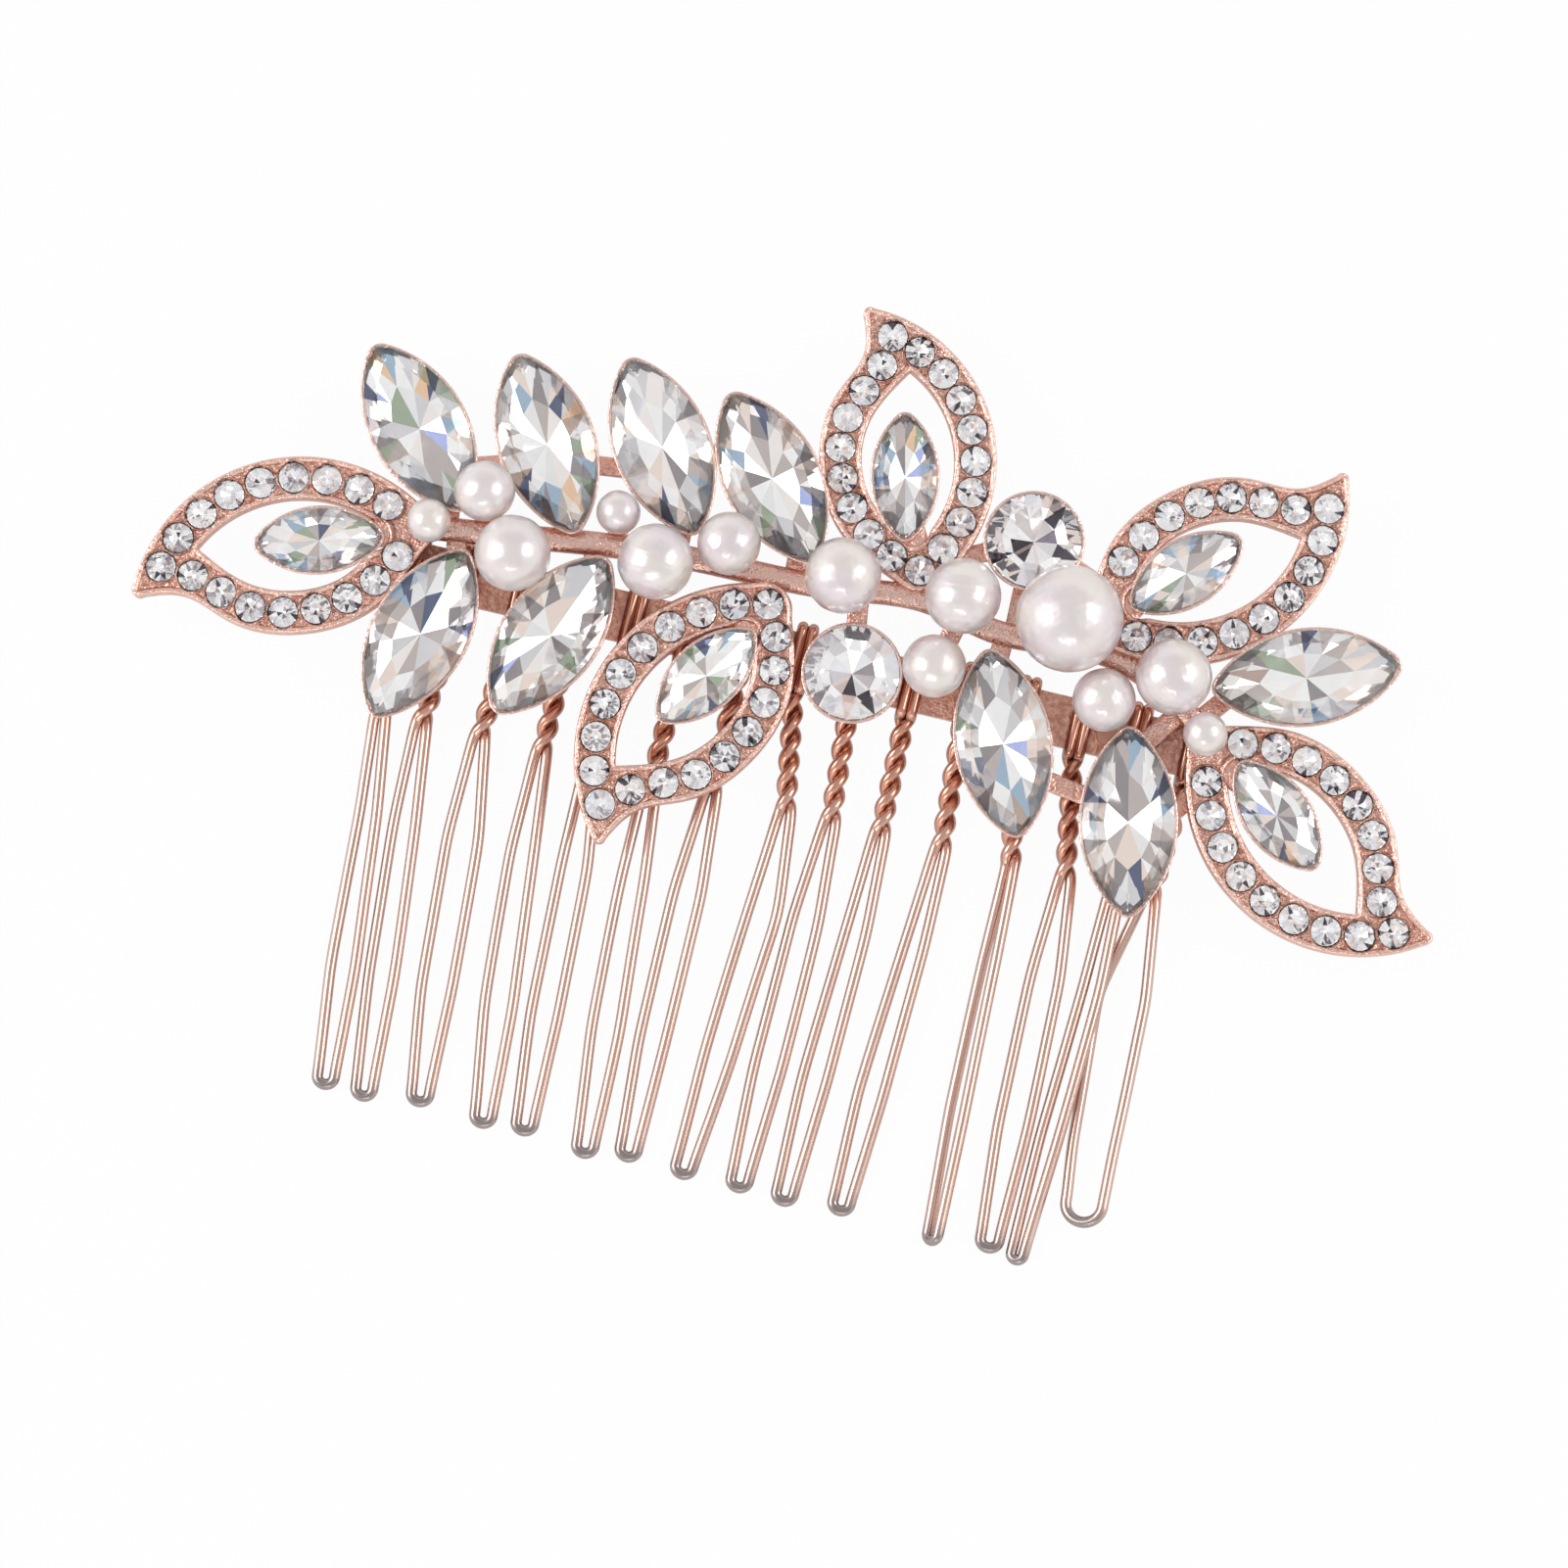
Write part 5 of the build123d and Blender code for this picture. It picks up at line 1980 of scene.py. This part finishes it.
    def stone_seat(self, node: str) -> list[Surface]:
        """Casts what holds one large stone.

        Args:
            node: the stone's node.

        Returns:
            Its cup and its arm, which starts under the middle of a round stone and under the end of a pointed
            one that is nearer to the stem.
        """
        if node.startswith("round_stone_"):
            size, centre, turn = ROUND_STONE, node_box(node)[0][:2], 0.0
            root = centre
        else:
            size, (centre, turn) = LARGE_STONE, long_axis(node)
            angle = math.radians(turn)
            reach = size[0] * self.root_share * np.array((math.cos(angle), math.sin(angle)))
            ends = (centre + reach, centre - reach)
            root = min(ends, key=lambda end: float(np.linalg.norm(end - self.nearest(end))))
        return [stone_cup(size, self.back, self.girdle).moved(*centre, 0, turn), self.arm(root)]

    def build(self) -> None:
        """Makes the branch as one piece."""
        made = [self.stem()]
        for node in nodes_named("marquise_stone_", "pearl_", "round_stone_"):
            if node.startswith("pearl_"):
                centre, size = node_box(node)
                if int(node[-2:]) not in self.leaf_pearls:
                    made.append(self.pearl_dish(centre, float(size[0]) / 2))
                made.append(self.arm(centre[:2]))
            else:
                made += self.stone_seat(node)
        made += [self.arm(np.array((place.x, place.y))) for place in self.leaves.values()]
        made += [strap(start, end, self.web_width, self.back, self.arm_front) for start, end in self.webs]
        make_piece("branch_skin", join(made), [self.finish], ["branch_casting"], smooth=True)


# -------------------------------------------------------------- surroundings
def look(back: np.ndarray, up: np.ndarray) -> Place:
    """Turns something whose back is its Z and whose top is its Y.

    Args:
        back: where its back points.
        up: where its top points, roughly.

    Returns:
        Its Euler angles.
    """
    z = Vector(back).normalized()
    x = Vector(up).cross(z).normalized()
    return tuple(Matrix((x, z.cross(x), z)).transposed().to_euler())


def grey(level: float) -> Tint:
    """A tint without colour."""
    return (level, level, level)


@dataclass(frozen=True)
class Softbox:
    """A studio lamp with an oblong of light, in metres and watts."""

    name: str
    place: Place
    size: Point
    watts: float

    def build(self) -> None:
        """Puts the lamp up, turned to the comb."""
        lamp = bpy.data.lights.new(self.name, "AREA")
        lamp.shape = "RECTANGLE"
        lamp.size, lamp.size_y = self.size
        lamp.energy = self.watts
        holder = bpy.data.objects.new(self.name, lamp)
        bpy.context.scene.collection.objects.link(holder)
        holder.location = self.place
        back = np.array(self.place) / np.linalg.norm(self.place)
        holder.rotation_euler = look(back, np.array((0.0, 1.0, 0.0)))


@dataclass(frozen=True)
class Studio:
    """A pale floor, soft lamps, a plain world and the camera.

    The floor and the lamps are in metres, tilt and roll in degrees, and the focal length is in the units of
    the frame's width. "floor_shine" is how much of the floor the camera sees as white, and "floor_mirror" how
    much metal and glass do. The ceiling is what metal mirrors, and the glass ceiling what shows through a
    stone; over the range of the horizon white gives way to either.
    """

    floor: float = 2.0
    paper: float = 0.9
    floor_shine: float = 0.96
    floor_mirror: float = 0.4
    ceiling: float = 0.58
    glass_ceiling: float = 0.88
    horizon: Span = (0.25, 0.65)
    fill: float = 0.5
    frame_width: float = 1601.0
    focal: float = 5454.5
    sensor: float = 36.0
    distance: float = 420.0
    tilt: float = 6.0
    roll: float = 13.5
    aim: Point = (0.95, -9.74)
    lamps: tuple[Softbox, ...] = (
        Softbox("left_softbox", (-0.385, -0.055, 0.33), (0.28, 0.32), 0.92),
        Softbox("right_softbox", (0.375, 0.125, 0.34), (0.20, 0.30), 0.66),
        Softbox("low_softbox", (0.03, -0.42, 0.30), (0.28, 0.08), 0.2),
    )

    def world(self) -> None:
        """White at the horizon, a dimmer ceiling for metal, a pale one behind glass, and an even fill."""
        world = bpy.data.worlds.new("studio")
        bpy.context.scene.world = world
        g = clear_graph(world)
        path = g.add("ShaderNodeLightPath").outputs
        way = g.add("ShaderNodeTexCoord").outputs["Generated"]
        height = g.add("ShaderNodeSeparateXYZ", Vector=way).outputs[2]
        ceiling = g.mix(path["Is Transmission Ray"], grey(self.ceiling), grey(self.glass_ceiling))
        shown = g.mix(g.span(height, *self.horizon), grey(1), ceiling)
        seen = g.maths("ADD", path["Is Camera Ray"], path["Is Glossy Ray"])
        seen = g.maths("MINIMUM", g.maths("ADD", seen, path["Is Transmission Ray"]), 1.0)
        light = g.add("ShaderNodeBackground", Color=g.mix(seen, grey(self.fill), shown), Strength=1.0)
        g.add("ShaderNodeOutputWorld", Surface=light.outputs[0])

    def ground(self) -> None:
        """The floor, which shines white by itself for most of what is seen and keeps a soft shadow."""
        size = self.floor
        mesh = bpy.data.meshes.new("floor")
        corners = [(-size, -size, 0), (size, -size, 0), (size, size, 0), (-size, size, 0)]
        mesh.from_pydata(corners, [], [(0, 1, 2, 3)])
        material = bpy.data.materials.new("floor")
        g = clear_graph(material)
        paper = g.add("ShaderNodeBsdfDiffuse", Color=(*grey(self.paper), 1))
        white = g.add("ShaderNodeEmission", Color=(*grey(1), 1), Strength=1.0)
        path = g.add("ShaderNodeLightPath").outputs
        mirrored = g.maths("MAXIMUM", path["Is Glossy Ray"], path["Is Transmission Ray"])
        seen = g.maths("MULTIPLY", path["Is Camera Ray"], self.floor_shine)
        share = g.maths("ADD", seen, g.maths("MULTIPLY", mirrored, self.floor_mirror))
        both = g.add("ShaderNodeMixShader", i0=share, i1=paper.outputs[0], i2=white.outputs[0])
        g.add("ShaderNodeOutputMaterial", Surface=both.outputs[0])
        mesh.materials.append(material)
        floor = bpy.data.objects.new("floor", mesh)
        bpy.context.scene.collection.objects.link(floor)

    def camera(self) -> None:
        """The camera: nearly straight above, a little from the teeth's side, turned about its own axis."""
        roll, tilt = math.radians(self.roll), math.radians(self.tilt)
        above = np.array((0, 0, 1.0))
        down = np.array((math.sin(roll), -math.cos(roll), 0.0))
        back = math.cos(tilt) * above + math.sin(tilt) * down
        up = math.sin(tilt) * above - math.cos(tilt) * down
        data = bpy.data.cameras.new("camera")
        data.sensor_width = self.sensor
        data.lens = self.focal / self.frame_width * self.sensor
        holder = bpy.data.objects.new("camera", data)
        bpy.context.scene.collection.objects.link(holder)
        aim = np.array((Bench.origin[0] + self.aim[0], Bench.origin[1] + self.aim[1], 0.0))
        holder.location = (aim + self.distance * back) * MM
        holder.rotation_euler = look(back, up)
        bpy.context.scene.camera = holder

    def build(self) -> None:
        """Sets everything up."""
        self.world()
        self.ground()
        self.camera()
        for lamp in self.lamps:
            lamp.build()
        bpy.context.scene.view_settings.view_transform = "Standard"


BENDS = (
    Bend(0.4, 2.9, 8, 29.2, (-0.5, -1.1, -0.85), (0.9, 0.9, 0.45)),
    Bend(-0.8, 2.7, 8, 29.4, (-1.0, -1.2, -0.8), (0.8, 0.85, 0.5)),
    Bend(-0.6, 2.3, 5, 28.8, (-1.3, -1.4, -0.75), (1.2, 1.05, 0.55)),
    Bend(-0.1, 2.3, 8, 29.3, (-1.2, -1.25, -0.55), (0.7, 1.05, 0.75)),
    Bend(-0.6, 1.8, 5, 29.1, (-0.95, -1.2, -0.8), (1.15, 1.0, 0.5)),
    Bend(-0.2, 1.9, 6, 29.7, (-1.0, -1.3, -0.8), (0.85, 0.95, 0.5)),
    Bend(0.1, 0.4, 6, 29.2, (-1.15, -1.3, -0.75), (1.05, 0.8, 0.55)),
    Bend(1.6, -1.4, 8, 29.5, (-0.65, -0.8, -0.5), (1.7, 1.4, 0.8)),
    Bend(0.7, -0.4, 6, 29.5, (-1.05, -1.1, -0.6), (1.05, 1.1, 0.7)),
    Bend(0.2, -0.7, 8, 29.7, (-0.7, -1.0, -0.65), (0.95, 1.0, 0.65)),
    Bend(0.6, -1.1, 6, 29.4, (-0.75, -1.1, -0.7), (0.8, 0.9, 0.6)),
    Bend(1.7, 0.75, 50, 30.0, (-0.85, -1.1, -0.6), (0.65, 0.7, 0.6)),
    Bend(1.6, 0.7, 4, 29.5, (-1.05, -1.2, -0.6), (1.25, 1.15, 0.75)),
    Bend(1.1, -0.9, 18, 29.9, (-0.45, -0.75, -0.5), (0.95, 0.75, 0.45)),
    Bend(-0.6, 0.6, 20, 25.9, (-2.5, -2.1, -1.45), (1.4, 1.3, 1.4)),
)
LEAVES = {
    "left": LeafPlace(-31.8, 2.6, -157.5, 19.9, -0.1, -5.5),
    "top": LeafPlace(7.45, 8.55, 109.9, 18.6, 0.3, -6.5),
    "upper_right": LeafPlace(22.5, 7.85, 40.8, 19.7, 0.6, 5.0),
    "lower_right": LeafPlace(32.6, 0.2, -32.1, 20.2, 0.0, -9.0),
    "centre": LeafPlace(-3.4, 3.15, -116.4, 20.4, -0.1, -6.5),
}
STEM = (
    (-31.4, 3.0),
    (-24.5, 3.9),
    (-18.2, 4.8),
    (-9.0, 5.5),
    (1.8, 5.9),
    (8.6, 6.5),
    (14.5, 5.4),
    (21.5, 5.8),
    (28.2, 4.0),
    (32.6, 0.9),
)
WEBS = (
    ((-29.5, 8.3), (-26.6, 9.2)),
    ((-19.6, 10.9), (-17.0, 11.2)),
    ((-11.0, 14.0), (-8.6, 13.6)),
    ((20.0, -4.9), (24.6, -5.6)),
    ((31.0, -5.2), (33.4, -2.0)),
    ((10.2, 10.4), (12.6, 11.6)),
    ((18.6, 12.0), (21.6, 10.8)),
)


def dress_nodes(bar: bpy.types.Material, solder: bpy.types.Material) -> None:
    """Gives the CAD nodes that stay in view their finishes.

    Args:
        bar: the bar's material.
        solder: the solder's material.
    """
    for node, finish in (("comb_bar", bar), ("solder_joints", solder)):
        thing = FRAME["nodes"][node]
        thing.data.materials.clear()
        thing.data.materials.append(finish)
        LOG.info("%s: dressed", node)


def main() -> None:
    """Builds the comb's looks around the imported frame."""
    logging.basicConfig(level=logging.INFO, format="%(name)s: %(message)s")
    FRAME.update(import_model())
    grain, streaks = CastGrain().group(), DrawnStreaks().group()
    casting = PlatedCasting().material(grain)
    dice = np.random.default_rng(SEED)

    Bench.settle(LEVELS.bar_back)
    WireComb(DrawnWire().material(streaks), BENDS).build(dice)
    LeafWork(casting, LEAVES).build()
    BranchWork(casting, STEM, WEBS, LEAVES).build()
    PearlWork(Nacre().material()).build(dice)
    StoneWork(
        ClearCrystal().material(),
        LARGE_FOIL.material(),
        SMALL_FOIL.material(),
        large=Stone(LARGE_STONE, 12),
        small=Stone(LEAF_STONE, 12, crown=0.5, depth=0.85),
        round=Stone(ROUND_STONE, 10, crown=0.95, depth=1.3, table=(0.7, 0.7), break_ring=(0.5, 0.5)),
        pave=Stone(
            PAVE_STONE, 8, band=0.03, crown=0.3, depth=0.46, table=(0.55, 0.55), break_ring=(0.42, 0.6)
        ),
    ).build(dice)
    dress_nodes(BLASTED_BAR.material(grain), SOLDER.material(grain))
    Studio().build()


if __name__ == "__main__":
    main()
